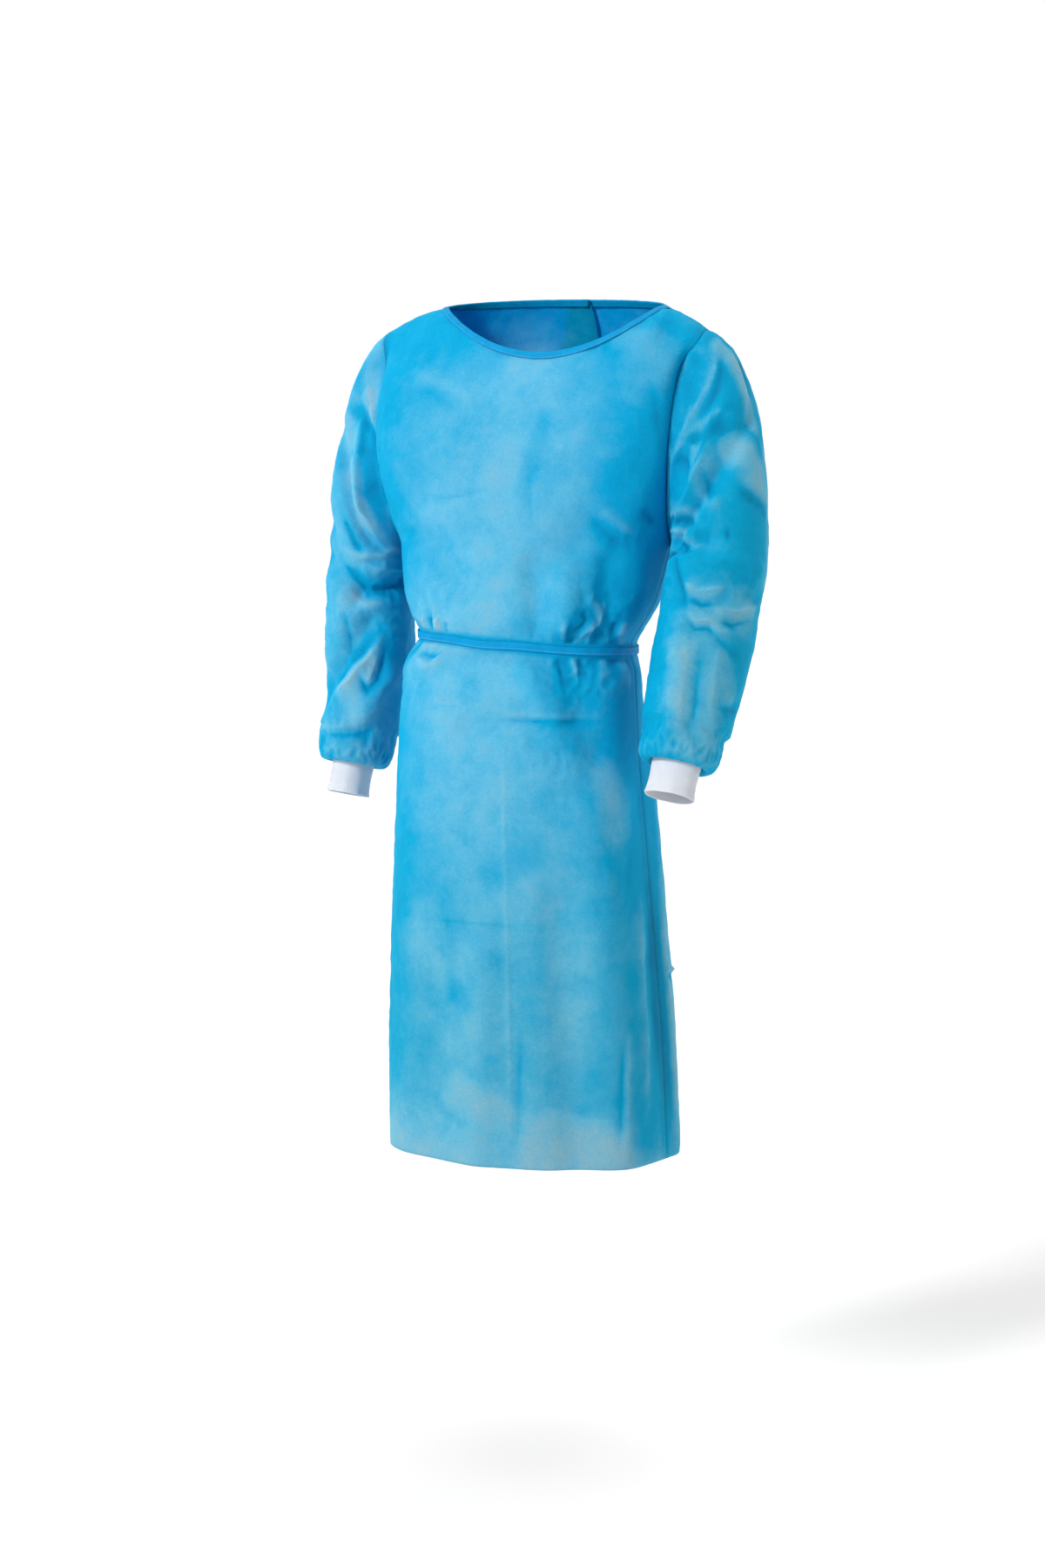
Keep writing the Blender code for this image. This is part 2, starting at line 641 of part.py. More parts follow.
def binding_sections(panels):
    """Folded tape over the neck edge: each section wraps the edge of a panel."""
    parts = (
        ("back_right", 1, slice(0, -SHOULDER_COLUMNS)),
        ("front", -1, slice(SHOULDER_COLUMNS, -SHOULDER_COLUMNS)),
        ("back_left", 1, slice(SHOULDER_COLUMNS, None)),
    )
    runs = []
    for name, facing, part in parts:
        grid, normals = panels[name], outer_normals(panels[name], facing)
        rows = grid[-1, part], grid[-2, part], normals[-1, part], normals[-2, part]
        runs.append(np.stack(rows, axis=1))
    corners, shoulders = [], (SHOULDER_COLUMNS - 1, -SHOULDER_COLUMNS)
    for before, after, column in zip(runs, runs[1:], shoulders):
        top, _, up, _ = (before[-1] + after[0]) / 2
        seam = unit((panels["front"][-1, column] - top) * [1, 0, 1])
        corners.append([top, top + seam * BINDING_WIDTH, unit(up), unit(up)])
        before[-1, 0] += CORNER_STEP * (before[-2, 0] - before[-1, 0])
        after[0, 0] += CORNER_STEP * (after[1, 0] - after[0, 0])
    path = np.array([*runs[0], corners[0], *runs[1], corners[1], *runs[2]])
    top, low, top_out, low_out = (path[:, i] for i in range(4))
    rise = unit(np.cross(top_out, np.gradient(top, axis=0)))
    outer, inner = LAY_GAP + TAPE_WALL, WALL + LAY_GAP
    far = inner + TAPE_WALL
    corners = (
        low + low_out * outer,
        low + low_out * LAY_GAP,
        top + top_out * LAY_GAP + rise * LAY_GAP,
        top - top_out * inner + rise * LAY_GAP,
        low - low_out * inner,
        low - low_out * far,
        top - top_out * far + rise * outer,
        top + top_out * outer + rise * outer,
    )
    return np.stack(corners, axis=1)


def waist_ring(height_step, out):
    """Points round the gown near the belt line, pushed outwards from its outer side."""
    points, overlap = [], overlap_at(BELT_HEIGHT)
    for i in range(BELT_POINTS):
        u = 4 * i / BELT_POINTS - 1
        facing, u = (-1, u) if u <= 1 else (1, 2 - u)
        point = lower_row(facing, u, BELT_HEIGHT)
        outward = point - np.array([0.0, -0.03, 0.0])
        outward[2] = 0.0
        lift = 0.0
        if facing > 0:
            lift = LAYER_LIFT * smoothed((overlap + 0.04 + LIFT_RUN - u) / LIFT_RUN)
            lift *= smoothed((u + overlap + 0.16) / 0.10)
        points.append(point + unit(outward) * (out + lift) + [0, 0, height_step])
    return np.array(points)


def belt_sections():
    """The waist tie: a flat tape drawn round the gown."""
    inner, outer = BELT_CLEARANCE, BELT_CLEARANCE + BELT_WALL
    half = BELT_WIDTH / 2
    corners = ((-half, inner), (half, inner), (half, outer), (-half, outer))
    return np.stack([waist_ring(step, out) for step, out in corners], axis=1)


def knot(name, centre, size):
    """A tight knot of tape: a small rounded block."""
    bpy.ops.mesh.primitive_cube_add(size=1)
    made = bpy.context.object
    for collection in list(made.users_collection):
        collection.objects.unlink(made)
    GOWN.objects.link(made)
    made.name = made.data.name = name
    for vertex in made.data.vertices:
        vertex.co = [c + v * s for c, v, s in zip(centre, vertex.co, size)]
    made.data.materials.append(material(name, TAPE_BLUE))
    rounding = made.modifiers.new("Rounding", "BEVEL")
    rounding.width = 0.3 * min(size)
    rounding.segments = 2
    return made


def back_profile(panels):
    """Heights down the middle of the back and the y of the outermost cloth there."""
    points = panels["back_left"]
    middle = np.abs(points[..., 0] - NECK_CENTRE_X) < 0.05
    outermost = np.where(middle, points[..., 1], -1.0).max(axis=1)
    return points[:, -1, 2], outermost


def tail_sections(start, length, lean, profile):
    """A hanging tape end that comes out of its knot and then lies just off the back."""
    sections = []
    for down in length * np.linspace(0, 1, TAIL_STEPS) ** 1.4:
        x, z = start[0] + lean * down, start[2] - down
        lying = np.interp(z, *profile) + TAIL_CLEARANCE
        y = lying + max(start[1] - lying, 0) * (1 - smoothed(down / TAIL_FALL))
        half, wall = BELT_WIDTH / 2, BELT_WALL / 2
        corners = ((-half, -wall), (half, -wall), (half, wall), (-half, wall))
        sections.append([(x + a, y + b, z + a * lean) for a, b in corners])
    return np.array(sections)


def tie(place, centre, size, length, profile):
    """A knot and its two hanging ends."""
    knot(f"{place}_knot", centre, size)
    bottom = centre[2] - size[2] / 2 - LAY_GAP / 2
    for name, side in (("left", 1), ("right", -1)):
        start = centre[0] + side * (BELT_WIDTH / 2 + LAY_GAP / 2), centre[1], bottom
        sections = tail_sections(start, length, side * TAIL_LEAN, profile)
        tape(f"{place}_tail_{name}", sections)


def build():
    """Every piece of the gown."""
    panels = body_panels()
    cloth("front", panels["front"])
    cloth("back_left", panels["back_left"])
    cloth("back_right", panels["back_right"])
    for name, side in (("left", 1), ("right", -1)):
        rings, cuff = sleeve_rings(panels, side), cuff_rings(side)
        cloth(f"sleeve_{name}", rings, closed=True, flipped=side < 0)
        cloth(f"cuff_{name}", cuff, KNIT_WHITE, True, side < 0, CUFF_WALL)
    binding = binding_sections(panels)
    tape("neck_binding", binding, turned=(3, 7))
    belt = belt_sections()
    tape("belt", belt, closed=True)
    profile = back_profile(panels)
    behind_neck = binding[np.abs(binding[..., 0]) < NECK_KNOT[0]]
    neck = (0.0, behind_neck[:, 1].max(), NECK_RISE_BACK - BINDING_WIDTH / 2)
    waist = (-0.012, belt[..., 1].max(), BELT_HEIGHT)
    for place, (x, y, z), size, length in (
        ("neck", neck, NECK_KNOT, NECK_TAIL_LENGTH),
        ("belt", waist, BELT_KNOT, BELT_TAIL_LENGTH),
    ):
        centre = (x, y + LAY_GAP + size[1] / 2, z)
        tie(place, centre, size, length, profile)


for old in list(bpy.data.objects):
    bpy.data.objects.remove(old)
GOWN = bpy.data.collections.new("isolation_gown")
bpy.context.scene.collection.children.link(GOWN)
build()
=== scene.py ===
"""Isolation gown of light blue nonwoven cloth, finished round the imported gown.

Metres, +Z up. The front faces -Y and the wearer's left is +X. The cloth shells follow the
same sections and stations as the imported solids, divided more finely and with the creases added.
"""

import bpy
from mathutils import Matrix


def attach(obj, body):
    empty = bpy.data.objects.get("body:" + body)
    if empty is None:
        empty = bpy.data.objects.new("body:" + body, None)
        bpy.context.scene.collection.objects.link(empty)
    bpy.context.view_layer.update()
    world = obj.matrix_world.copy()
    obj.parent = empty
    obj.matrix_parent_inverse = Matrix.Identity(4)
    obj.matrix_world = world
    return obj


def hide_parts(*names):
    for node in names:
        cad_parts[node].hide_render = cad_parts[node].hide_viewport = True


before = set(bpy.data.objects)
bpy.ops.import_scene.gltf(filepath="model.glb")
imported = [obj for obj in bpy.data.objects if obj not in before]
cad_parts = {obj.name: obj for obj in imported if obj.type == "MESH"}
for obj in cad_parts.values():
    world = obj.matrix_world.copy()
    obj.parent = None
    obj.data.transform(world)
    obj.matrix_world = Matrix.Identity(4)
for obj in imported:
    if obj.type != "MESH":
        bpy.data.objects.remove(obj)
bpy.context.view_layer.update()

import math
from collections import namedtuple

import bmesh
import bpy
import numpy as np
from bpy.props import FloatProperty, FloatVectorProperty, PointerProperty
from mathutils import Vector, noise

bl_info = {
    "name": "Isolation gown",
    "version": (1, 0, 0),
    "blender": (4, 5, 0),
    "location": "3D View > Sidebar > Gown",
    "description": "Builds the cloth, knit and tape of an isolation gown round its packed solids",
    "category": "Object",
}

NONWOVEN = "spunbond polypropylene nonwoven"


def linear(hex_colour):
    """A colour written as sRGB hex, as the linear values that shaders take."""
    parts = (int(hex_colour[i : i + 2], 16) / 255 for i in (1, 3, 5))
    return tuple(c / 12.92 if c <= 0.04045 else ((c + 0.055) / 1.055) ** 2.4 for c in parts)


# ---- form of the gown

HEM_HEIGHT = -1.092
ARMPIT_HEIGHT = -0.305
BELT_HEIGHT = -0.429
BELT_TILT = 0.009
BELT_TILT_REACH = 0.10
SQUARENESS = 2.25

NECK_CENTRE_X = -0.004
NECK_HALF_WIDTH = 0.151
NECK_DROP_FRONT = 0.062
NECK_DEPTH_FRONT = 0.088
NECK_RISE_BACK = 0.012
NECK_DEPTH_BACK = 0.074
NECK_SKEW = 0.018
NECK_SHARE = 0.70
TIP_CENTRE_X = -0.012
TIP_HALF_WIDTH = 0.222
TIP_DROP = 0.030
LEAN = 0.02
BODY_MIDDLE_Y = -0.03

OVERLAP_HEM = 0.30
OVERLAP_NECK = 0.05
LAYER_LIFT = 0.0054
LIFT_EDGE = 0.04
LIFT_RUN = 0.22

BINDING_STRIP = 0.30
# How far the binding stands off the cloth outside and inside, how much it swells between its
# edges, and how far apart its ripples are
BINDING_OUTSIDE = 0.0005
BINDING_INSIDE = 0.0009
BINDING_PUFF = 0.0007
BINDING_RIPPLE = 0.011
BELT_WIDTH = 0.0100
BELT_THICKNESS = 0.0014
# The seam along a tape: from its edge, and the channel that it presses in
SEAM_INSET = 0.0021
CHANNEL_WIDTH = 0.0009
CHANNEL_DEPTH = 0.45
BELT_CLEARANCE = 0.0008
# How far the waist tie wanders up and down, leans out and bulges
BELT_SWAY = 0.0016
BELT_LEAN = 0.0010
BELT_UNEVEN = 0.0003
TAIL_CLEARANCE = 0.0014
TAIL_FALL = 0.035
TAIL_LEAN = 0.09
TAIL_SWAY = 0.0035
TAIL_WAVE = 0.0016
TAIL_TWIST = 0.16
NECK_TAIL_LENGTH = 0.15
BELT_TAIL_LENGTH = 0.24
NECK_KNOT = (0.017, 0.008, 0.012)
BELT_KNOT = (0.020, 0.010, 0.014)
# Each knot: tilt and share of its width for either turn of tape, and how the tape lies in it
KNOT_TURNS = ((0.35, 0.62), (-0.5, 0.5))
KNOT_TAPE = 0.0012
KNOT_INSET = 0.0008
KNOT_PINCH = 0.25
KNOT_CREASE = 0.0004
KNOT_CLEARANCE = 0.0006
# How far an end reaches up into its knot, and half the gap between the two ends
TAIL_HIDDEN = 0.0015
TAIL_APART = 0.0003

CUFF_LEFT_SPANS = (0.0315, 0.0265)
CUFF_RIGHT_SPANS = (0.0275, 0.0300)
CUFF_HIDDEN = 0.016
CUFF_SHOWN = 0.040
CUFF_WALL = 0.0018
# The cuff draws in halfway down and opens at its lip, with a groove below the sleeve's end
CUFF_NARROWING = 0.0012
CUFF_FLARE = 0.0004
CUFF_GROOVE = 0.0005
RIB_HEIGHT = 0.00012
# Waves round the cuff: height, number and place
CUFF_WAVES = ((0.0005, 5, 1.0), (0.0004, 9, 2.0))
# How far the sleeve's end stands off the cuff
CUFF_FIT = 0.0006

Section = namedtuple("Section", "height centre_x centre_y half_width front back")
SECTIONS = (
    Section(HEM_HEIGHT, -0.012, -0.054, 0.190, 0.140, 0.142),
    Section(-0.970, -0.012, -0.062, 0.188, 0.134, 0.138),
    Section(-0.720, -0.012, -0.078, 0.174, 0.124, 0.131),
    Section(-0.570, -0.012, -0.084, 0.163, 0.119, 0.127),
    Section(-0.495, -0.012, -0.080, 0.158, 0.117, 0.124),
    Section(BELT_HEIGHT - 0.026, -0.012, -0.070, 0.152, 0.111, 0.115),
    Section(BELT_HEIGHT - 0.008, -0.012, -0.064, 0.144, 0.103, 0.106),
    Section(BELT_HEIGHT + 0.008, -0.012, -0.064, 0.144, 0.103, 0.106),
    Section(BELT_HEIGHT + 0.026, -0.012, -0.060, 0.153, 0.111, 0.111),
    Section(-0.370, -0.014, -0.044, 0.170, 0.121, 0.117),
    Section(ARMPIT_HEIGHT, -0.016, -0.022, 0.184, 0.128, 0.119),
)
Yoke = namedtuple("Yoke", "centre_x edge_x edge_y edge_height middle_y middle_height")
FRONT_YOKE = (
    Yoke(-0.018, 0.193, -0.050, -0.262, -0.147, -0.256),
    Yoke(-0.020, 0.204, -0.068, -0.172, -0.138, -0.182),
    Yoke(-0.018, 0.206, -0.044, -0.086, -0.116, -0.118),
)
BACK_YOKE = (
    Yoke(-0.018, 0.193, 0.024, -0.262, 0.102, -0.250),
    Yoke(-0.018, 0.204, 0.050, -0.172, 0.108, -0.158),
    Yoke(-0.014, 0.210, 0.040, -0.086, 0.101, -0.078),
)
Drop = namedtuple("Drop", "u outward forward down")
FRONT_DROPS = (
    Drop(0.0, 0.0, 0.013, 0.028),
    Drop(0.35, 0.002, 0.017, 0.027),
    Drop(0.70, 0.022, 0.027, 0.019),
    Drop(1.0, 0.0, 0.034, 0.015),
)
BACK_DROPS = (
    Drop(0.0, 0.0, 0.012, 0.034),
    Drop(0.35, 0.002, 0.018, 0.030),
    Drop(0.70, 0.022, 0.027, 0.019),
    Drop(1.0, 0.0, 0.034, 0.015),
)
Station = namedtuple("Station", "x y height side fore")
LEFT_ARM = (
    Station(0.248, -0.064, -0.340, 0.061, 0.066),
    Station(0.246, -0.081, -0.388, 0.061, 0.066),
    Station(0.242, -0.102, -0.445, 0.061, 0.065),
    Station(0.236, -0.124, -0.510, 0.057, 0.061),
    Station(0.230, -0.150, -0.575, 0.051, 0.054),
)
RIGHT_ARM = (
    Station(-0.264, -0.017, -0.345, 0.057, 0.064),
    Station(-0.264, -0.020, -0.400, 0.057, 0.063),
    Station(-0.261, -0.026, -0.455, 0.056, 0.062),
    Station(-0.265, -0.040, -0.525, 0.052, 0.058),
    Station(-0.272, -0.056, -0.600, 0.050, 0.053),
)
CAP_OUT_TOP = (0.92, 0.0, -0.38)
CAP_OUT = (0.80, 0.0, -0.60)
CAP_FULLNESS = 0.72
Puff = namedtuple("Puff", "rise spread")
PUFFS = (
    Puff(0.046, 1.00),
    Puff(0.024, 0.98),
    Puff(0.010, 0.86),
    Puff(0.002, 0.62),
    Puff(0.000, 0.34),
    Puff(0.004, 0.10),
    Puff(0.010, 0.00),
)
# Levels of the armhole's points, from the shoulder down to the armpit
ARMHOLE_LEVELS = (
    5, 4.88, 4.5, 4, 11 / 3, 10 / 3, 3, 2.75, 2.5, 2.25, 2, 1.75, 1.5, 1.25, 1, 2 / 3, 1 / 3, 0,
)

Stroke = namedtuple("Stroke", "angle place to_angle to_place half_width depth")


def strokes(scale, *rows):
    """Folds or patches: from an angle and place to another, half width and depth.

    Angles are in degrees, places and half widths in millimetres and depths in steps of the scale.
    """
    return tuple(
        Stroke(angle, place / 1000, to_angle, to_place / 1000, half_width / 1000, depth * scale)
        for angle, place, to_angle, to_place, half_width, depth in rows
    )


# Broad folds, as in the solids: body by angle from the front middle and height, sleeve by
# angle from its outer side and thousandths of its length
BODY_FOLDS = strokes(
    0.001,
    (-56, -372, -40, -408, 17, -8),
    (-64, -460, -40, -448, 17, 7),
    (16, -330, 24, -404, 22, -8),
    (34, -345, 40, -408, 20, 9),
    (20, -452, 38, -520, 20, 8),
    (56, -330, 64, -408, 22, -10),
    (50, -452, 60, -560, 24, -7),
    (-14, -528, 50, -522, 18, -5),
    (-4, -820, -8, -1080, 30, 7),
    (40, -760, 44, -1080, 32, -10),
    (58, -640, 62, -1080, 30, 9),
    (-34, -860, -38, -1080, 34, -6),
    (-66, -240, -34, -330, 30, -8),
    (60, -200, 30, -330, 32, -8),
    (108, -600, 104, -1080, 34, 10),
    (132, -520, 136, -1080, 32, -10),
    (-106, -560, -102, -1080, 34, 10),
    (-132, -480, -138, -1080, 32, -10),
    (146, -340, 136, -406, 22, 8),
    (-142, -340, -134, -406, 22, 8),
    (116, -452, 120, -520, 22, -7),
    (-116, -452, -122, -520, 22, -7),
    (108, -200, 148, -330, 30, -7),
    (-108, -200, -148, -330, 30, -7),
)
BODY_RADIUS = 0.165
LEFT_FOLDS = strokes(
    0.001,
    (20, 220, 130, 420, 17, -13),
    (50, 160, 124, 300, 15, 9),
    (84, 500, 168, 470, 18, -12),
    (16, 550, 96, 570, 16, 8),
    (30, 660, 118, 630, 16, -9),
    (98, 700, 84, 920, 16, 7),
    (-60, 240, -130, 440, 18, -11),
    (-40, 620, -120, 560, 18, -9),
)
RIGHT_FOLDS = strokes(
    0.001,
    (36, 240, 116, 400, 16, -13),
    (70, 100, 100, 300, 15, 9),
    (30, 440, 96, 540, 16, -10),
    (34, 520, 104, 600, 15, -12),
    (104, 600, 176, 580, 16, -10),
    (36, 840, 118, 680, 17, -12),
    (150, 780, 124, 860, 15, 8),
    (-60, 260, -130, 440, 18, -11),
    (-30, 620, -120, 560, 18, -9),
)
SLEEVE_RADIUS = 0.062
SLEEVE_LENGTH = 0.60

# ---- creases of the cloth

Crease = namedtuple("Crease", "left right height points")


def creases(*rows):
    """Fine creases: how wide each side of the line is, how high, and the line's points.

    Sizes are in millimetres, points by angle and place as for the folds.
    """
    made = []
    for *sizes, in_points in ((*row[:3], row[3:]) for row in rows):
        points = [(turn, place / 1000) for turn, place in in_points]
        made.append(Crease(*(size / 1000 for size in sizes), points))
    return tuple(made)


# What the heights are taken times, how sharply a crease falls off (1 is a keen edge, 2 is
# round), and the share of its height that is left at its ends
CREASE_LIFT = 1.6
CREASE_POWER = 1.05
CREASE_END = 0.15
BODY_CREASES = creases(
    (4, 7, 3.5, (51, -372), (60, -387), (62, -402), (55, -410), (49, -424)),
    (5, 5, -3.5, (47, -382), (53, -396), (50, -405), (45, -414)),
    (4, 6, -3.5, (43, -400), (45, -414), (48, -428)),
    (4, 5, 3, (38, -399), (41, -414), (43, -428)),
    (4, 6, 3, (76, -421), (75, -412), (76, -398)),
    (4, 4, -2.5, (72, -421), (70, -407), (71, -398)),
    (3, 4, 2.6, (-56, -398), (-58, -415)),
    (3, 4, -2.6, (-51, -394), (-52, -416)),
    (3, 4, 2.6, (-47, -395), (-46, -417)),
    (3, 4, -2, (-41, -400), (-41, -418)),
    (3, 5, 2.6, (-64, -432), (-56, -434), (-47, -430)),
    (3, 4, -2.6, (-55, -443), (-43, -444), (-39, -436)),
    (4, 5, 2.4, (-55, -447), (-44, -458), (-35, -450)),
    (4, 6, 2.6, (46, -441), (50, -455), (52, -468)),
    (4, 6, -2.2, (51, -442), (56, -456), (57, -477)),
    (4, 6, -2, (39, -441), (42, -459), (44, -481)),
    (4, 6, 2, (83, -444), (83, -462), (83, -487)),
    (3, 3, -1.5, (-2, -521), (20, -522), (43, -523), (64, -524)),
    (4, 4, 1, (-2, -517), (20, -513), (43, -515), (64, -516)),
    (3, 3, -1.2, (-44, -509), (-19, -506)),
    (5, 9, 2.2, (67, -908), (65, -975), (64, -1043), (64, -1088)),
    (6, 6, -2, (64, -921), (62, -998), (60, -1083)),
    (8, 8, -1.6, (17, -908), (15, -998), (14, -1088)),
    (8, 8, -2.4, (90, -728), (88, -804), (86, -894), (86, -984)),
    (7, 9, 2.4, (83, -723), (79, -827), (78, -935), (76, -1038)),
    (3, 4, -4, (97, -853), (102, -857), (108, -862)),
    (3, 4, 3, (97, -845), (102, -848), (108, -853)),
    (9, 4, 3, (99, -700), (97, -850), (98, -1000), (97, -1088)),
    (4, 8, -2.4, (94, -720), (93, -860), (94, -1000), (93, -1080)),
    # Straight lines where the new gown lay folded in its bag
    (3, 3, 0.9, (10, -470), (9, -700), (10, -900), (9, -1090)),
    (3, 3, -0.8, (-60, -777), (-20, -779), (20, -781), (56, -783)),
    (12, 13, 1.2, (-72, -76), (-57, -99), (-36, -121)),
    (12, 12, -1, (-65, -97), (-51, -120), (-35, -143)),
    (4, 4, -1, (-46, -248), (-33, -244), (-15, -234)),
    (6, 8, -1.6, (44, -267), (52, -288), (62, -307)),
    (6, 8, 1.4, (47, -253), (55, -273), (66, -292)),
    (6, 6, -2.2, (65, -256), (69, -266), (75, -280)),
    (8, 8, -1.6, (70, -91), (70, -136), (71, -178)),
    (5, 5, -0.9, (12, -215), (13, -248), (14, -282)),
    # The back, plainly finished
    (6, 9, 3, (128, -330), (138, -370), (142, -414)),
    (6, 8, -3, (118, -350), (126, -380), (130, -414)),
    (7, 9, 2.6, (-122, -320), (-134, -366), (-139, -414)),
    (6, 7, -3, (-150, -350), (-153, -384), (-152, -414)),
    (6, 9, 2.8, (-128, -446), (-131, -500), (-128, -560)),
    (6, 8, -2.8, (134, -446), (136, -492), (140, -540)),
    (9, 11, 2.6, (122, -640), (124, -800), (123, -1080)),
    (9, 10, -2.6, (-120, -600), (-118, -820), (-121, -1080)),
    (10, 10, 2.2, (-150, -760), (-152, -900), (-149, -1080)),
    (8, 10, -2.4, (118, -130), (134, -190), (146, -260)),
    (8, 10, 2.4, (-118, -110), (-134, -180), (-150, -230)),
)
# The back of either sleeve, plainly finished
SLEEVE_BACK_CREASES = (
    (6, 9, -3.4, (-30, 300), (-70, 330), (-120, 300)),
    (7, 6, 2.8, (-50, 480), (-90, 500), (-150, 470)),
    (6, 8, -3.4, (-60, 560), (-100, 530), (-160, 540)),
    (6, 7, 2.6, (-40, 800), (-80, 720), (-110, 700)),
)
LEFT_CREASES = creases(
    (5, 8, -4, (29, 218), (48, 218), (66, 199), (87, 144), (111, 50)),
    (7, 4, 3, (26, 199), (48, 190), (66, 162), (87, 110), (103, 50)),
    (5, 7, 3.5, (26, 43), (42, 79), (56, 102), (74, 102), (103, 57)),
    (6, 6, -3, (24, 57), (37, 94), (53, 127), (69, 136)),
    (4, 6, 2.5, (13, 71), (13, 119), (16, 162), (21, 209)),
    (5, 5, -2, (-19, 64), (-11, 127), (8, 190)),
    (3, 6, -3.4, (120, 30), (108, 90), (100, 150), (99, 215)),
    (5, 3, 3, (112, 30), (100, 85), (90, 140), (84, 190)),
    (3, 5, -3, (97, 225), (76, 205), (54, 186), (36, 180)),
    (9, 6, -2.6, (50, 357), (37, 386), (21, 405), (-21, 442)),
    (6, 10, 2.4, (45, 327), (32, 366), (5, 396), (-21, 424)),
    (4, 6, 3.2, (151, 24), (124, 257), (101, 376), (87, 433)),
    (4, 5, -3.5, (159, 0), (124, 327), (103, 414), (90, 468)),
    (4, 5, 3.2, (161, 71), (119, 442), (103, 501), (90, 501)),
    (4, 5, -3, (135, 424), (111, 523), (93, 537)),
    (4, 9, 3.8, (106, 606), (85, 625), (69, 619), (50, 604)),
    (5, 4, -2.6, (98, 636), (77, 652), (58, 641)),
    (4, 9, 3.8, (66, 654), (45, 652), (29, 647), (0, 616)),
    (5, 6, 3, (92, 668), (78, 690), (62, 684), (50, 700), (36, 694)),
    (5, 5, -2.8, (90, 684), (78, 706), (62, 700), (50, 716)),
    (5, 4, -2.4, (56, 680), (34, 680), (5, 652)),
    (5, 7, -2.6, (132, 530), (114, 587), (103, 641), (90, 674)),
    (6, 8, 2, (87, 707), (79, 771), (77, 845), (69, 936)),
    (8, 8, -1.6, (71, 717), (64, 787), (58, 877), (48, 936)),
    (7, 8, 1.8, (48, 707), (45, 766), (42, 830), (26, 918)),
    (5, 5, -1.6, (29, 845), (8, 840), (-19, 830)),
    (5, 6, -1.6, (58, 680), (48, 717), (29, 734), (11, 734)),
    (3, 3, -2.2, (61, 468), (56, 485), (58, 501)),
    (7, 7, -2, (85, 257), (77, 337), (77, 386)),
    (6, 8, 2, (93, 287), (82, 366), (64, 414)),
    *SLEEVE_BACK_CREASES,
)
RIGHT_CREASES = creases(
    (6, 10, -4.5, (29, 178), (50, 160), (69, 117), (103, 18), (119, 0)),
    (5, 9, 3, (29, 160), (53, 125), (79, 63), (103, 0)),
    (4, 8, 2.5, (45, 63), (58, 78), (82, 56), (106, 0)),
    (4, 5, -1.6, (32, 285), (77, 207), (111, 37), (119, 0)),
    (5, 7, -3.5, (69, 394), (90, 423), (109, 485)),
    (7, 5, 3, (61, 493), (90, 493), (111, 493), (138, 432), (167, 207)),
    (5, 9, -4.5, (69, 523), (85, 556), (101, 578), (116, 600), (143, 594), (180, 578)),
    (6, 6, 2.5, (79, 578), (95, 611), (114, 627), (143, 622)),
    (5, 9, -4.5, (56, 820), (82, 782), (98, 751), (114, 729), (132, 700)),
    (8, 5, 3, (71, 837), (93, 803), (106, 771), (122, 737), (138, 711)),
    (5, 6, -3.5, (106, 777), (114, 798), (124, 814), (135, 792), (138, 756), (140, 724)),
    (6, 6, 2.4, (114, 777), (122, 792), (127, 766), (130, 733)),
    (6, 6, 2.2, (32, 904), (90, 899), (122, 886), (135, 859)),
    (5, 6, -2.2, (58, 920), (98, 915), (130, 904), (146, 880)),
    (8, 8, -2, (74, 305), (114, 207), (132, 6)),
    (6, 9, 2, (50, 638), (34, 720), (50, 798)),
    (6, 6, -1.8, (85, 638), (87, 705), (85, 747)),
    *SLEEVE_BACK_CREASES,
)

# Where the cloth lies close to the wearer and looks paler, along a line as for the folds, by
# how many hundredths. A number below 0 takes paleness away.
BODY_PATCHES = strokes(
    0.01,
    (0, -91, -2, -230, 158, 48),
    (-6, -230, -8, -382, 140, 48),
    (-74, -90, -66, -300, 26, -90),
    (-14, -448, -10, -602, 125, 48),
    (-13, -602, -10, -669, 115, 45),
    (10, -665, 8, -975, 170, 36),
    (-39, -786, -36, -885, 45, 42),
    (39, -777, 44, -930, 45, 46),
    (66, -602, 67, -651, 34, 45),
    (73, -53, 67, -110, 30, 22),
    (110, -640, 106, -1080, 22, 50),
    (-52, -1130, 62, -1130, 105, 80),
    (26, -1060, 54, -1085, 55, 100),
    (-20, -1000, 20, -1050, 40, 62),
    (140, -100, 150, -340, 80, 50),
    (-140, -100, -150, -340, 80, 50),
    (146, -500, 140, -1080, 70, 42),
    (-146, -500, -140, -1080, 70, 42),
    (-1, -719, 26, -683, 24, -60),
    (-25, -867, -16, -881, 16, -50),
    (82, -720, 77, -1056, 34, -95),
    (60, -231, 84, -602, 40, -80),
    (22, -150, 8, -230, 18, -40),
)
LEFT_PATCHES = strokes(
    0.01,
    (82, 171, 77, 287, 18, 38),
    (90, 739, 79, 854, 18, 46),
    (40, 750, 19, 819, 18, 38),
    (44, 250, 8, 370, 20, 62),
    (70, 700, 50, 900, 40, 36),
    (22, 40, 4, 240, 11, 60),
    (-14, 300, -18, 560, 16, 32),
    (30, 640, 20, 660, 20, 35),
    (-60, 200, -70, 420, 40, 40),
)
RIGHT_PATCHES = strokes(
    0.01,
    (24, 37, 74, 71, 24, 50),
    # Paler over the whole front of this sleeve: painted light on the side that faces the key light
    (70, 300, 110, 920, 60, 26),
    (58, 197, 98, 305, 44, 62),
    (87, 611, 93, 705, 26, 46),
    (85, 787, 106, 859, 26, 46),
    (114, 530, 124, 550, 12, 36),
    (119, 742, 124, 766, 12, 34),
    (-60, 200, -70, 420, 40, 40),
)
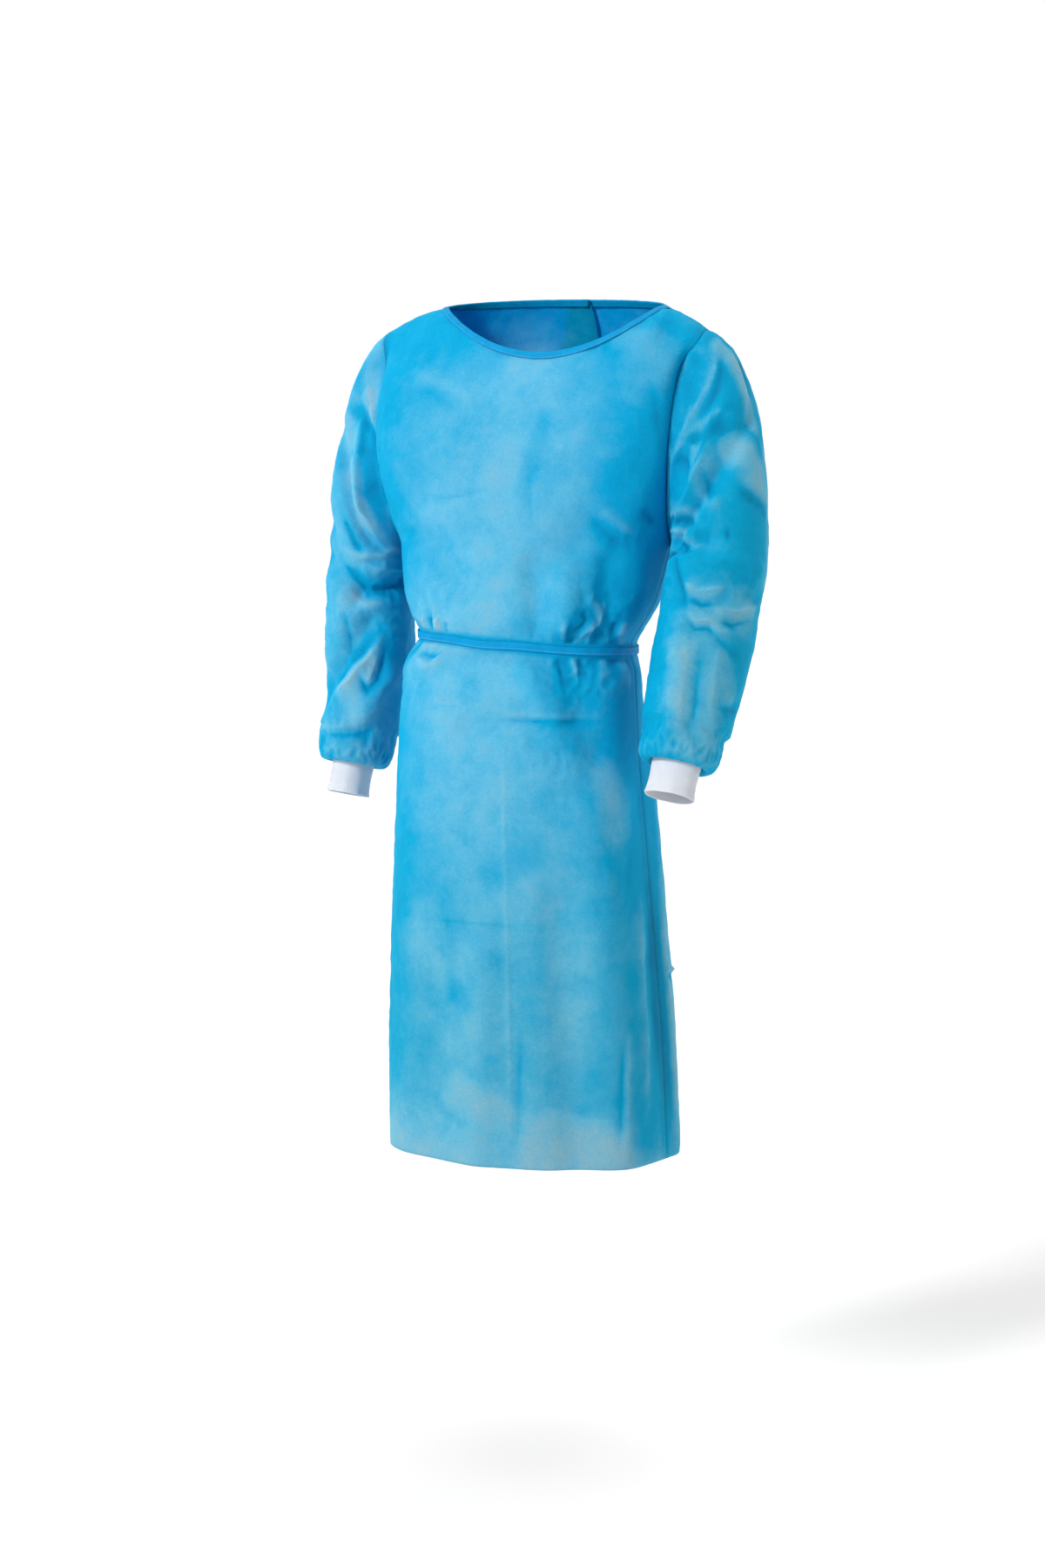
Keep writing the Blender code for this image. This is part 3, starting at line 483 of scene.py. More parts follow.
# Where the cloth has many fine wrinkles
BODY_WRINKLED = strokes(
    0.01,
    (20, -530, 42, -570, 30, 100),
    (-48, -470, -30, -510, 32, 70),
    (44, -380, 76, -400, 34, 90),
    (40, -455, 70, -490, 34, 90),
    (-58, -395, -44, -405, 22, 80),
    (130, -400, 160, -400, 40, 70),
    (-130, -400, -160, -400, 40, 70),
)
SLEEVE_WRINKLED = strokes(
    0.01,
    (100, 400, 150, 620, 35, 100),
    (20, 600, 90, 700, 30, 60),
    (80, 760, 130, 700, 25, 60),
    (-80, 420, -140, 620, 40, 80),
)
WRINKLE_HEIGHT = 0.0011

# Crinkles over the whole cloth: their size, the share of each that its ridge takes up (none
# for curling ones), their place in the noise and how much they add
Crinkle = namedtuple("Crinkle", "size keenness offset share")
BODY_CRINKLES = (
    Crinkle(0.110, 0.34, 2.1, 1.0),
    Crinkle(0.045, 0.25, 5.7, 0.35),
    Crinkle(0.022, None, 8.1, 0.35),
)
SLEEVE_CRINKLES = (
    Crinkle(0.095, 0.30, 3.3, 1.0),
    Crinkle(0.044, 0.22, 8.9, 0.40),
    Crinkle(0.020, None, 1.9, 0.25),
)
SLEEVE_CRINKLE = 1.6
CRINKLE_SEED = 7
# Crinkles are this high away from the wearer, and lose this much where the cloth is palest
CRINKLE_AWAY = 1.35
CRINKLE_CLOSE = 1.1
WRINKLE_OFFSET = 6.3
BODY_WRINKLE_SIZE = 0.014
SLEEVE_WRINKLE_SIZE = 0.016

# Gathers above and below the belt: size, how much longer than wide, height in the front
# middle, what is added round the sides, and how far they reach
GATHER_SIZE = 0.022
GATHER_STRETCH = (1, 1, 0.24)
GATHER_FRONT = 0.0006
GATHER_SIDES = 0.0020
GATHER_REACH = 0.024

# How full the gathers are, by shares of the sleeve from the cuff and from the armhole
CUFF_FULLNESS = ((0, 0.05, 0.09, 0.16, 1), (0, 1.0, 0.45, 0.08, 0))
CAP_PUCKER = ((0, 0.012, 0.05, 0.12, 1), (0, 1.0, 0.45, 0, 0))

# How much painted highlight and painted shade a crease of this height gives, and how dark the
# painted shade of folds and doubled cloth can get
CREASE_PAINTED_LIGHT = 0.50
CREASE_PAINTED_LIGHT_HEIGHT = 0.004
DOUBLED_AND_SHADED = -0.5
# Creases fade out over this share of a panel's width beside a seam, and of its armhole's
# height below the top edge
FRONT_SEAM_SHARE = 0.03
BACK_SEAM_SHARE = 0.05
TOP_SEAM_SHARE = 0.10
# Beside each seam the cloth is darker over its allowance: cloth lying doubled there, and painted
# shade along the seam line
SEAM_ALLOWANCE = 0.010
SEAM_DOUBLING_AND_SHADE = -0.22

# ---- how finely each piece is divided

BODY_ROWS = 200
YOKE_FINENESS = 5
NECK_COLUMNS = 130
SHOULDER_COLUMNS = 15
BACK_COLUMNS = 92
HALF_RING = (len(ARMHOLE_LEVELS) - 1) * YOKE_FINENESS
RING_POINTS = 2 * HALF_RING
CAP_RINGS = 50
ARM_RINGS = 140
PUFF_FINENESS = 8
CUFF_POINTS = 320
CUFF_RINGS = 26
BELT_POINTS = 420
NECK_SMOOTHING = 9
TAPE_CORNERS = 20
TAIL_ROWS = 60
STITCH_SEED = 5
STITCH_LIFT = 0.0001


# ---- curves and rows


def smoothed(share):
    """0 to 1 with level ends."""
    share = np.clip(share, 0.0, 1.0)
    return share * share * (3 - 2 * share)


def unit(vectors):
    """Vectors scaled to length one."""
    vectors = np.asarray(vectors, float)
    return vectors / np.linalg.norm(vectors, axis=-1, keepdims=True)


def through(knots, values, at):
    """Smooth curve through rising knots that never overshoots its values."""
    knots, values = np.asarray(knots, float), np.asarray(values, float)
    steps = np.diff(knots)
    slopes = np.diff(values) / steps
    tangents = np.zeros_like(values)
    tangents[0], tangents[-1] = slopes[0], slopes[-1]
    for i in range(1, len(knots) - 1):
        if slopes[i - 1] * slopes[i] > 0:
            ahead, behind = 2 * steps[i] + steps[i - 1], steps[i] + 2 * steps[i - 1]
            tangents[i] = (ahead + behind) / (ahead / slopes[i - 1] + behind / slopes[i])
    i = np.clip(np.searchsorted(knots, at, side="right") - 1, 0, len(steps) - 1)
    s = (at - knots[i]) / steps[i]
    leaving, arriving = steps[i] * tangents[i], steps[i] * tangents[i + 1]
    return eased_between(s, values[i], values[i + 1], leaving, arriving)


def eased_between(s, start, stop, leaving, arriving):
    """A cubic curve from start to stop that leaves and arrives as told, s from 0 to 1."""
    first = (1 + 2 * s) * (1 - s) ** 2 * start + s * (1 - s) ** 2 * leaving
    return first + s * s * (3 - 2 * s) * stop + s * s * (s - 1) * arriving


def finely(values, fineness):
    """A row of values with more between them, on a smooth curve through them."""
    at = np.linspace(0, len(values) - 1, (len(values) - 1) * fineness + 1)
    return through(np.arange(len(values)), values, at)


def column_of(table, name, at, key="height"):
    """One named column of a table, read at a value of its key column."""
    rows = sorted(table, key=lambda row: getattr(row, key))
    return through([getattr(r, key) for r in rows], [getattr(r, name) for r in rows], at)


def line_distance(x, y, x0, y0, x1, y1):
    """Distance from a line, its sign by side, and the share of the way along it."""
    along = np.array([x1 - x0, y1 - y0])
    share = np.clip(((x - x0) * along[0] + (y - y0) * along[1]) / (along @ along), 0, 1)
    away_x, away_y = x - x0 - share * along[0], y - y0 - share * along[1]
    side = np.where(along[0] * away_y - along[1] * away_x > 0, 1.0, -1.0)
    return np.hypot(away_x, away_y), side, share


def arc_share(u):
    """Sideways and outward shares of a rounded section, u from -1 to 1 across a panel."""
    angle = np.asarray(u, float) * math.pi / 2
    power = 2 / SQUARENESS
    sideways = np.sign(angle) * np.abs(np.sin(angle)) ** power
    return sideways, np.abs(np.cos(angle)) ** power


def lower_row(facing, u, height):
    """Points of the gown below the armpits. facing is -1 on the front, 1 on the back."""
    depth_name = "front" if facing < 0 else "back"
    centre_x, centre_y, half_width, depth = (
        column_of(SECTIONS, name, height)
        for name in ("centre_x", "centre_y", "half_width", depth_name)
    )
    sideways, outward = arc_share(u)
    tilt = BELT_TILT * math.exp(-(((height - BELT_HEIGHT) / BELT_TILT_REACH) ** 2))
    return np.stack(
        [
            centre_x + half_width * sideways,
            centre_y + facing * depth * outward,
            height - tilt * sideways,
        ],
        axis=-1,
    )


def yoke_row(row, u):
    """Points of a panel between the two armholes."""
    sideways, outward = arc_share(u)
    rise = np.abs(np.sin(np.asarray(u) * math.pi / 2)) ** 3
    return np.stack(
        [
            row.centre_x + row.edge_x * sideways,
            row.edge_y + (row.middle_y - row.edge_y) * outward,
            row.middle_height + (row.edge_height - row.middle_height) * rise,
        ],
        axis=-1,
    )


def top_edge(facing, u):
    """The neckline between the shoulder seams, and the seams from it to the armholes."""
    u = np.asarray(u, float)
    turn = np.clip(u / NECK_SHARE, -1, 1) * math.pi / 2
    seam = np.clip((np.abs(u) - NECK_SHARE) / (1 - NECK_SHARE), 0, 1)
    in_neck = np.cos(turn)
    x = NECK_CENTRE_X + NECK_HALF_WIDTH * np.sin(turn)
    tip = TIP_CENTRE_X + np.sign(u) * TIP_HALF_WIDTH
    x += (tip - x) * seam
    if facing < 0:
        x += NECK_SKEW * in_neck
        y, z = -NECK_DEPTH_FRONT * in_neck, -NECK_DROP_FRONT * in_neck**2
    else:
        y, z = NECK_DEPTH_BACK * in_neck, NECK_RISE_BACK * in_neck
    return np.stack([x, y, z - LEAN * x - TIP_DROP * seam**1.15], axis=-1)


def below_edge(facing, u):
    """The row of points just under the top edge."""
    table = FRONT_DROPS if facing < 0 else BACK_DROPS
    away = np.abs(np.asarray(u, float))
    outward, forward, down = (
        column_of(table, name, away, "u") for name in ("outward", "forward", "down")
    )
    step = np.stack([np.sign(u) * outward, facing * forward, -down], axis=-1)
    return top_edge(facing, u) + step


def upper_row(facing, u, level):
    """Points above the armpits: level 0 at the armpits, 5 at the top edge."""
    table = FRONT_YOKE if facing < 0 else BACK_YOKE
    rows = [
        lower_row(facing, u, ARMPIT_HEIGHT - 0.05),
        lower_row(facing, u, ARMPIT_HEIGHT),
        *(yoke_row(row, u) for row in table),
        below_edge(facing, u),
        top_edge(facing, u),
    ]
    beyond = 2 * rows[-1] - rows[-2]
    over_shoulder = smoothed((np.abs(u) - NECK_SHARE + 0.1) / 0.1)
    beyond[..., 2] += (rows[-2][..., 2] - beyond[..., 2]) * over_shoulder
    rows.append(beyond)
    first = min(int(level), len(rows) - 4)
    s = level - first
    a, b, c, d = rows[first : first + 4]
    curve = 2 * b + (c - a) * s + (2 * a - 5 * b + 4 * c - d) * s**2
    return 0.5 * (curve + (3 * b - a - 3 * c + d) * s**3)


# ---- folds and creases


def broad_folds(folds, x, y, radius, length=1.0):
    """How far the broad folds push each point in or out."""
    push = np.zeros(np.broadcast(x, y).shape)
    for fold in folds:
        start, stop = math.radians(fold.angle) * radius, math.radians(fold.to_angle) * radius
        away, _, _ = line_distance(x, y, start, fold.place * length, stop, fold.to_place * length)
        push += fold.depth * np.exp(-((away / fold.half_width) ** 2))
    return push


def keen_creases(creases, x, y, radius, length=1.0):
    """How far the fine creases push each point: keen at the line, tapering at its ends."""
    push = np.zeros(np.broadcast(x, y).shape)
    for crease in creases:
        points = [(math.radians(a) * radius, b * length) for a, b in crease.points]
        spans = [math.dist(p, q) for p, q in zip(points, points[1:])]
        nearest = np.full(push.shape, 1e9)
        side, where = np.zeros(push.shape), np.zeros(push.shape)
        gone = 0.0
        for (p, q), span in zip(zip(points, points[1:]), spans):
            away, here, share = line_distance(x, y, *p, *q)
            closer = away < nearest
            nearest = np.where(closer, away, nearest)
            side = np.where(closer, here, side)
            where = np.where(closer, (gone + share * span) / sum(spans), where)
            gone += span
        width = np.where(side > 0, crease.left, crease.right)
        taper = smoothed(where / 0.3) * smoothed((1 - where) / 0.3)
        ridge = CREASE_LIFT * crease.height * np.exp(-((nearest / width) ** CREASE_POWER))
        push += ridge * (CREASE_END + (1 - CREASE_END) * taper)
    return push


def wrinkles(points, size, stretch=(1, 1, 1), offset=0.0):
    """Curling ridges of about one size over a grid of points, from -1 to 1."""
    scaled = points.reshape(-1, 3) * np.array(stretch) / size + offset
    found = np.array([abs(noise.noise(Vector(p))) for p in scaled])
    return 1 - 3.2 * found.reshape(points.shape[:-1])


def crumple(points, size, keenness, offset):
    """Ridges and valleys round flat facets of about one size, from -1 to 1.

    keenness is the share of a facet that a ridge takes up.
    """
    found = []
    for point in (points.reshape(-1, 3) / size + offset).tolist():
        place = Vector(point)
        bent = place + 0.45 * noise.noise_vector(place * 0.8)
        nearest = noise.voronoi(bent)[0]
        turn = min(max(4 * noise.noise(place * 0.45), -1), 1)
        found.append(turn * (1.5 * math.exp(-(nearest[1] - nearest[0]) / keenness) - 0.4))
    return np.array(found).reshape(points.shape[:-1])


def crinkled(points, table):
    """The crinkles of a table over a grid of points.

    The seed is set first, because the noise module takes one from the clock otherwise.
    """
    noise.seed_set(CRINKLE_SEED)
    push = 0
    for row in table:
        if row.keenness:
            push = push + row.share * crumple(points, row.size, row.keenness, row.offset)
        else:
            push = push + row.share * wrinkles(points, row.size, offset=row.offset)
    return push


def outer_normals(grid, closed=False):
    """Directions square to a grid of points."""
    if closed:
        across = (np.roll(grid, -1, axis=1) - np.roll(grid, 1, axis=1)) / 2
    else:
        across = np.gradient(grid, axis=1)
    return unit(np.cross(across, np.gradient(grid, axis=0)))


# ---- body panels


def body_angle(points):
    """Angle of each point round the body, from the front middle to the wearer's left."""
    x, y, z = points[..., 0], points[..., 1], points[..., 2]
    centre_y = column_of(SECTIONS, "centre_y", np.clip(z, HEM_HEIGHT, ARMPIT_HEIGHT))
    return np.arctan2(x, -(y - centre_y))


def folded(points):
    """Points of the body pushed in or out by its broad folds, less near the belt and seams."""
    z, angle = points[..., 2], body_angle(points)
    push = broad_folds(BODY_FOLDS, angle * BODY_RADIUS, z, BODY_RADIUS)
    belt = BELT_HEIGHT - BELT_TILT * np.sin(angle)
    push *= smoothed((np.abs(z - belt) - 0.006) / 0.024)
    push *= smoothed((ARMPIT_HEIGHT + 0.10 - z) / 0.12)
    outward = np.stack([np.sin(angle), -np.cos(angle), 0 * angle], axis=-1)
    return points + outward * push[..., None]


def body_heights():
    """Row heights from the hem to the armpits, closest near the belt."""
    even = np.linspace(HEM_HEIGHT, ARMPIT_HEIGHT, 8 * BODY_ROWS)
    travelled = np.cumsum(1 + 1.6 * np.exp(-(((even - BELT_HEIGHT) / 0.055) ** 2)))
    wanted = np.linspace(travelled[0], travelled[-1], BODY_ROWS)
    return np.interp(wanted, travelled, even)


def yoke_levels():
    """Row levels from the armpits to the top edge, without the first."""
    return finely(ARMHOLE_LEVELS[::-1], YOKE_FINENESS)[1:]


def front_columns(height, level=0.0):
    """u values across the front, on every row alike: over the neckline, then each shoulder."""
    neck = np.linspace(-NECK_SHARE, NECK_SHARE, NECK_COLUMNS + 1)
    shoulder = np.linspace(NECK_SHARE, 1.0, SHOULDER_COLUMNS + 1)[1:]
    return np.concatenate([-shoulder[::-1], neck, shoulder])


def overlap_at(height, level=0.0):
    """How far past the middle of the back a back panel reaches, as a u value."""
    raised = max(height - HEM_HEIGHT, 0) if level == 0 else ARMPIT_HEIGHT - HEM_HEIGHT
    share = 0.7 * raised / (ARMPIT_HEIGHT - HEM_HEIGHT) + 0.3 * level / 5
    return OVERLAP_HEM + (OVERLAP_NECK - OVERLAP_HEM) * share


def left_back_columns(height, level=0.0):
    """u values of the left back, from the side seam to past the middle."""
    shoulder = np.linspace(1.0, NECK_SHARE, SHOULDER_COLUMNS + 1)[:-1]
    rest = np.linspace(NECK_SHARE, -overlap_at(height, level), BACK_COLUMNS + 1)
    return np.concatenate([shoulder, rest])


def right_back_columns(height, level=0.0):
    """u values of the right back, from past the middle to the side seam."""
    return -left_back_columns(height, level)[::-1]


def body_keys():
    """Height and level of every row of a panel."""
    return [(z, 0.0) for z in body_heights()] + [(0.0, level) for level in yoke_levels()]


def body_grid(facing, columns, keys):
    """Rows of points of a panel, with its broad folds."""
    rows = [
        upper_row(facing, columns(height, level), level) if level > 0
        else lower_row(facing, columns(height), height)
        for height, level in keys
    ]
    return eased(folded(np.array(rows)), columns, keys)


def eased(grid, columns, keys):
    """The panel rounded below each neck corner, where its rows turn into the shoulder."""
    beside = np.array([np.abs(columns(height, level)) for height, level in keys])
    level = np.array([level for _, level in keys])
    share = 0.5 * smoothed(1 - np.abs(beside - NECK_SHARE) / 0.16)
    share *= (smoothed((level - 1.0) / 1.5) * (level < 5))[:, None]
    for _ in range(60):
        middle = (grid[:, :-2] + grid[:, 2:]) / 2
        grid[:, 1:-1] += share[:, 1:-1, None] * (middle - grid[:, 1:-1])
    return grid


def away_from_middle(points):
    """Level directions away from the middle of the gown."""
    away = points - np.array([0.0, BODY_MIDDLE_Y, 0.0])
    away[..., 2] = 0.0
    return unit(away)


def layer_lift(u, overlap):
    """How far the left back stands off where it laps over the right back."""
    return LAYER_LIFT * smoothed((overlap + LIFT_EDGE + LIFT_RUN - u) / LIFT_RUN)


def lifted(grid, columns, keys):
    """The left back raised off the right back where it lies over it."""
    lifts = []
    for height, level in keys:
        u = columns(height, level)
        lifts.append(layer_lift(u, overlap_at(height, level)))
    return grid + away_from_middle(grid) * np.array(lifts)[..., None]


def body_panels(keys):
    """The smooth skins of the front and the two backs."""
    left = body_grid(1, left_back_columns, keys)
    return {
        "front": body_grid(-1, front_columns, keys),
        "back_left": lifted(left, left_back_columns, keys),
        "back_right": body_grid(1, right_back_columns, keys),
    }


def creased_panel(name, grid, crinkle):
    """A body panel with its creases, gathers at the belt and crinkles, and how pale it is, with
    painted highlight and shade over its creases and along its seams.
    """
    z, angle = grid[..., 2], body_angle(grid)
    around = angle * BODY_RADIUS
    keen = keen_creases(BODY_CREASES, around, z, BODY_RADIUS)
    off_belt = np.abs(z - BELT_HEIGHT + BELT_TILT * np.sin(angle))
    past_belt = off_belt - BELT_WIDTH / 2
    flat = np.stack([around, 0 * around, z], axis=-1)
    gathers = wrinkles(flat, GATHER_SIZE, GATHER_STRETCH, 7.3)
    gathers *= GATHER_FRONT + GATHER_SIDES * smoothed((np.abs(angle) - 0.45) / 0.5)
    gathers *= smoothed(past_belt / 0.006) * np.exp(-off_belt / GATHER_REACH)
    pale = patched(BODY_PATCHES, around, z, BODY_RADIUS)
    crinkles = crinkle * crinkled(grid, BODY_CRINKLES) * (CRINKLE_AWAY - CRINKLE_CLOSE * pale)
    wrinkled = patched(BODY_WRINKLED, around, z, BODY_RADIUS)
    fine = wrinkles(grid, BODY_WRINKLE_SIZE, offset=WRINKLE_OFFSET)
    crinkles += WRINKLE_HEIGHT * wrinkled * fine
    push = keen + gathers + crinkles
    edges = smoothed(past_belt / 0.008)
    share = np.linspace(0, 1, grid.shape[1])
    to_seam = {"front": np.minimum(share, 1 - share) / FRONT_SEAM_SHARE,
               "back_left": share / BACK_SEAM_SHARE, "back_right": (1 - share) / BACK_SEAM_SHARE}
    edges = edges * smoothed(to_seam[name])
    row_share = np.arange(grid.shape[0])[::-1] / (HALF_RING * TOP_SEAM_SHARE)
    edges = edges * (smoothed(row_share)[:, None])
    # Painted highlight on the ridges and painted shade in the valleys of creases, gathers and
    # crinkles
    pale += painted_crease_light(keen + 1.5 * gathers + 0.3 * crinkles)
    pale *= smoothed((off_belt - 0.004) / 0.010)
    # Darker beside the seams: the doubled allowance and painted shade along the seam
    across = unrolled_uv(grid, False)[..., 0]
    to_edge = np.minimum(across - across[:, :1], across[:, -1:] - across)
    pale += SEAM_DOUBLING_AND_SHADE * np.exp(-((to_edge / SEAM_ALLOWANCE) ** 4))
    return grid + outer_normals(grid) * (push * edges)[..., None], np.clip(pale, DOUBLED_AND_SHADED, 1)


# ---- sleeves and cuffs


def armhole(panels, side):
    """The armhole's points: from the shoulder down the front, then up the back."""
    if side > 0:
        front_edge, back_edge = panels["front"][:, -1], panels["back_left"][:, 0]
    else:
        front_edge, back_edge = panels["front"][:, 0], panels["back_right"][:, -1]
    front_edge, back_edge = front_edge[-HALF_RING - 1 :], back_edge[-HALF_RING - 1 :]
    tip, pit = (front_edge[-1] + back_edge[-1]) / 2, (front_edge[0] + back_edge[0]) / 2
    return np.array([tip, *front_edge[-2:0:-1], pit, *back_edge[1:-1]])


def arm_frame(stations, height):
    """Centre, sideways and forward directions, and half widths of a sleeve at a height."""
    def centre(z):
        return np.array([column_of(stations, "x", z), column_of(stations, "y", z), z])

    side = math.copysign(1, stations[0].x)
    step = 0.01
    low = max(height - step, stations[-1].height)
    axis = unit(centre(low) - centre(low + 2 * step))
    sideways = np.array([side, 0.0, 0.0])
    sideways = unit(sideways - axis * (sideways @ axis))
    forward = np.cross(axis, sideways) * side
    forward *= -math.copysign(1, forward[1])
    spans = [column_of(stations, name, height) for name in ("side", "fore")]
    return centre(height), axis, sideways, forward, spans


def turns(points=RING_POINTS):
    """Angles of a ring's points, once round from the outer side through the front."""
    return np.arange(points) * 2 * math.pi / points


def ring(centre, sideways, forward, spans, points=RING_POINTS):
    """A closed ring of points."""
    turn = turns(points)
    out = np.cos(turn)[:, None] * sideways * spans[0]
    return centre + out + np.sin(turn)[:, None] * forward * spans[1]


def cap_rings(loop, first, axis, side):
    """Rings that round the shoulder, from the armhole to the first ring of the arm."""
    reach = np.linalg.norm(first - loop, axis=1, keepdims=True) * CAP_FULLNESS
    low = smoothed((1 - np.cos(turns())) / 0.8)[:, None]
    out = np.array(CAP_OUT_TOP) * (1 - low) + np.array(CAP_OUT) * low
    leaving, arriving = unit(out * [side, 1, 1]) * reach, axis * reach
    shares = np.linspace(0, 1, CAP_RINGS + 1)
    return [eased_between(s, loop, first, leaving, arriving) for s in shares]


def sleeve_rings(panels, side):
    """A sleeve's smooth rings, their middles, and their share of the sleeve's length."""
    stations = LEFT_ARM if side > 0 else RIGHT_ARM
    top, bottom = stations[0].height, stations[-1].height
    centre, axis, sideways, forward, spans = arm_frame(stations, top)
    first = ring(centre, sideways, forward, spans)
    rings = cap_rings(armhole(panels, side), first, axis, side)
    middles = [r.mean(axis=0) for r in rings]
    for height in np.linspace(top, bottom + PUFFS[0].rise, ARM_RINGS + 1)[1:-1]:
        centre, axis, sideways, forward, spans = arm_frame(stations, height)
        rings.append(ring(centre, sideways, forward, spans))
        middles.append(centre)
    centre, axis, sideways, forward, spans = arm_frame(stations, bottom)
    on_cuff = np.array(CUFF_LEFT_SPANS if side > 0 else CUFF_RIGHT_SPANS) + CUFF_FIT
    columns = (finely([getattr(p, name) for p in PUFFS], PUFF_FINENESS) for name in Puff._fields)
    for rise, spread in zip(*columns):
        here = centre - axis * rise
        rings.append(ring(here, sideways, forward, on_cuff + (np.array(spans) - on_cuff) * spread))
        middles.append(here)
    rings, middles = np.array(rings), np.array(middles)
    travelled = np.cumsum(np.r_[0, np.linalg.norm(np.diff(rings[:, 0], axis=0), axis=1)])
    return rings, middles, travelled / travelled[-1]


def creased_sleeve(panels, side, crinkle, gather):
    """A sleeve with its folds, creases, gathers at both ends and crinkles, and how pale it is, with
    painted highlight and shade over its creases and gathers.
    """
    rings, middles, along = sleeve_rings(panels, side)
    folds, creases, patches = (
        (LEFT_FOLDS, LEFT_CREASES, LEFT_PATCHES) if side > 0
        else (RIGHT_FOLDS, RIGHT_CREASES, RIGHT_PATCHES)
    )
    turn = turns()
    turn = np.where(turn > math.pi, turn - 2 * math.pi, turn)
    x, y = turn[None, :] * SLEEVE_RADIUS, along[:, None] * SLEEVE_LENGTH
    keen = keen_creases(creases, x, y, SLEEVE_RADIUS, SLEEVE_LENGTH)
    push = broad_folds(folds, x, y, SLEEVE_RADIUS, SLEEVE_LENGTH) + keen
    crinkles = crinkle * SLEEVE_CRINKLE * crinkled(rings, SLEEVE_CRINKLES)
    wrinkled = patched(SLEEVE_WRINKLED, x, y, SLEEVE_RADIUS, SLEEVE_LENGTH)
    fine = wrinkles(rings, SLEEVE_WRINKLE_SIZE, offset=WRINKLE_OFFSET)
    crinkles += WRINKLE_HEIGHT * wrinkled * fine
    push += crinkles
    push *= smoothed(along / 0.05)[:, None] * smoothed((1.0 - along) / 0.10)[:, None]
    flat = np.zeros_like(x + y)
    unrolled = np.stack([np.cos(turn) + flat, np.sin(turn) + flat, y / 0.05 + flat], axis=-1)
    fullness = through(*CUFF_FULLNESS, 1 - along)[:, None]
    ruffles = 0.6 * wrinkles(unrolled * 0.05, 0.016, (1, 1, 0.5), 2.9 * side)
    ruffles += 0.6 * wrinkles(unrolled * 0.05, 0.009, (1, 1, 0.6), 1.7 * side)
    gathered = gather * fullness * ruffles
    pucker = through(*CAP_PUCKER, along)[:, None]
    gathered += 0.6 * gather * pucker * wrinkles(unrolled * 0.09, 0.018, (1, 1, 0.3), 4.1)
    pale = patched(patches, x, y, SLEEVE_RADIUS, SLEEVE_LENGTH)
    # Painted highlight on the ridges and painted shade in the valleys of creases, gathers and
    # crinkles
    pale += painted_crease_light(keen + gathered + 0.4 * crinkles)
    out = unit(rings - middles[:, None, :])
    return rings + out * (push + gathered)[..., None], np.clip(pale, DOUBLED_AND_SHADED, 1)


def cuff_grid(side, ribs):
    """A knit cuff: outer side, folded lower edge and inner side, with upright ribs."""
    stations = LEFT_ARM if side > 0 else RIGHT_ARM
    centre, axis, sideways, forward, _ = arm_frame(stations, stations[-1].height)
    spans = np.array(CUFF_LEFT_SPANS if side > 0 else CUFF_RIGHT_SPANS)
    lip = CUFF_WALL / 2
    down = np.linspace(-CUFF_HIDDEN, CUFF_SHOWN - lip, CUFF_RINGS)
    bend = np.linspace(0, math.pi, 9)[1:-1]
    along = np.r_[down, CUFF_SHOWN - lip + lip * np.sin(bend), down[::-1]]
    outward = np.r_[0 * down, lip * np.cos(bend) - lip, 0 * down - CUFF_WALL]
    shown = np.clip(along / CUFF_SHOWN, 0, 1)
    outward = outward - CUFF_NARROWING * np.sin(shown * math.pi)
    outward = outward + CUFF_FLARE * smoothed((shown - 0.82) / 0.1)
    turn = turns(CUFF_POINTS)
    rib = RIB_HEIGHT * np.cos(ribs * turn)
    wave = sum(height * np.cos(count * turn + start) for height, count, start in CUFF_WAVES)
    rings = []
    for far, out, share in zip(along, outward, shown):
        here = centre + axis * far
        points = ring(here, sideways, forward, spans + out, CUFF_POINTS)
        groove = CUFF_GROOVE * smoothed(share / 0.06) * smoothed((0.12 - share) / 0.06)
        push = rib + wave * share - groove
        rings.append(points + unit(points - here) * push[:, None])
    return np.array(rings)


# ---- tapes


def neck_path(lay):
    """The neck edge from end to end: edge, strip below it, and the way out of the cloth at each."""
    panels = body_panels([(0.0, 5 - BINDING_STRIP), (0.0, 5.0)])
    runs = []
    for name, part in (
        ("back_right", slice(0, -SHOULDER_COLUMNS)),
        ("front", slice(SHOULDER_COLUMNS, -SHOULDER_COLUMNS)),
        ("back_left", slice(SHOULDER_COLUMNS, None)),
    ):
        grid, normals = panels[name], outer_normals(panels[name])
        rows = grid[1, part], grid[0, part], normals[1, part], normals[0, part]
        runs.append(np.stack(rows, axis=1))
    path = np.concatenate([runs[0][:-1], runs[1], runs[2][1:]])
    kernel = np.hanning(2 * NECK_SMOOTHING + 3)[1:-1]
    kernel /= kernel.sum()
    wide = np.pad(path, ((NECK_SMOOTHING, NECK_SMOOTHING), (0, 0), (0, 0)), mode="edge")
    smooth = sum(w * wide[i : i + len(path)] for i, w in enumerate(kernel))
    top, low = path[:, 0], smooth[:, 1]
    top_out, low_out = unit(smooth[:, 2]), unit(smooth[:, 3])
    rise = unit(np.cross(top_out, np.gradient(top, axis=0)))
    rise *= np.sign(rise[len(rise) // 2, 2])
    reach = np.linalg.norm(low - top, axis=1, keepdims=True)
    low = top + (low - top) / reach * lay
    return top, low, top_out, low_out, rise


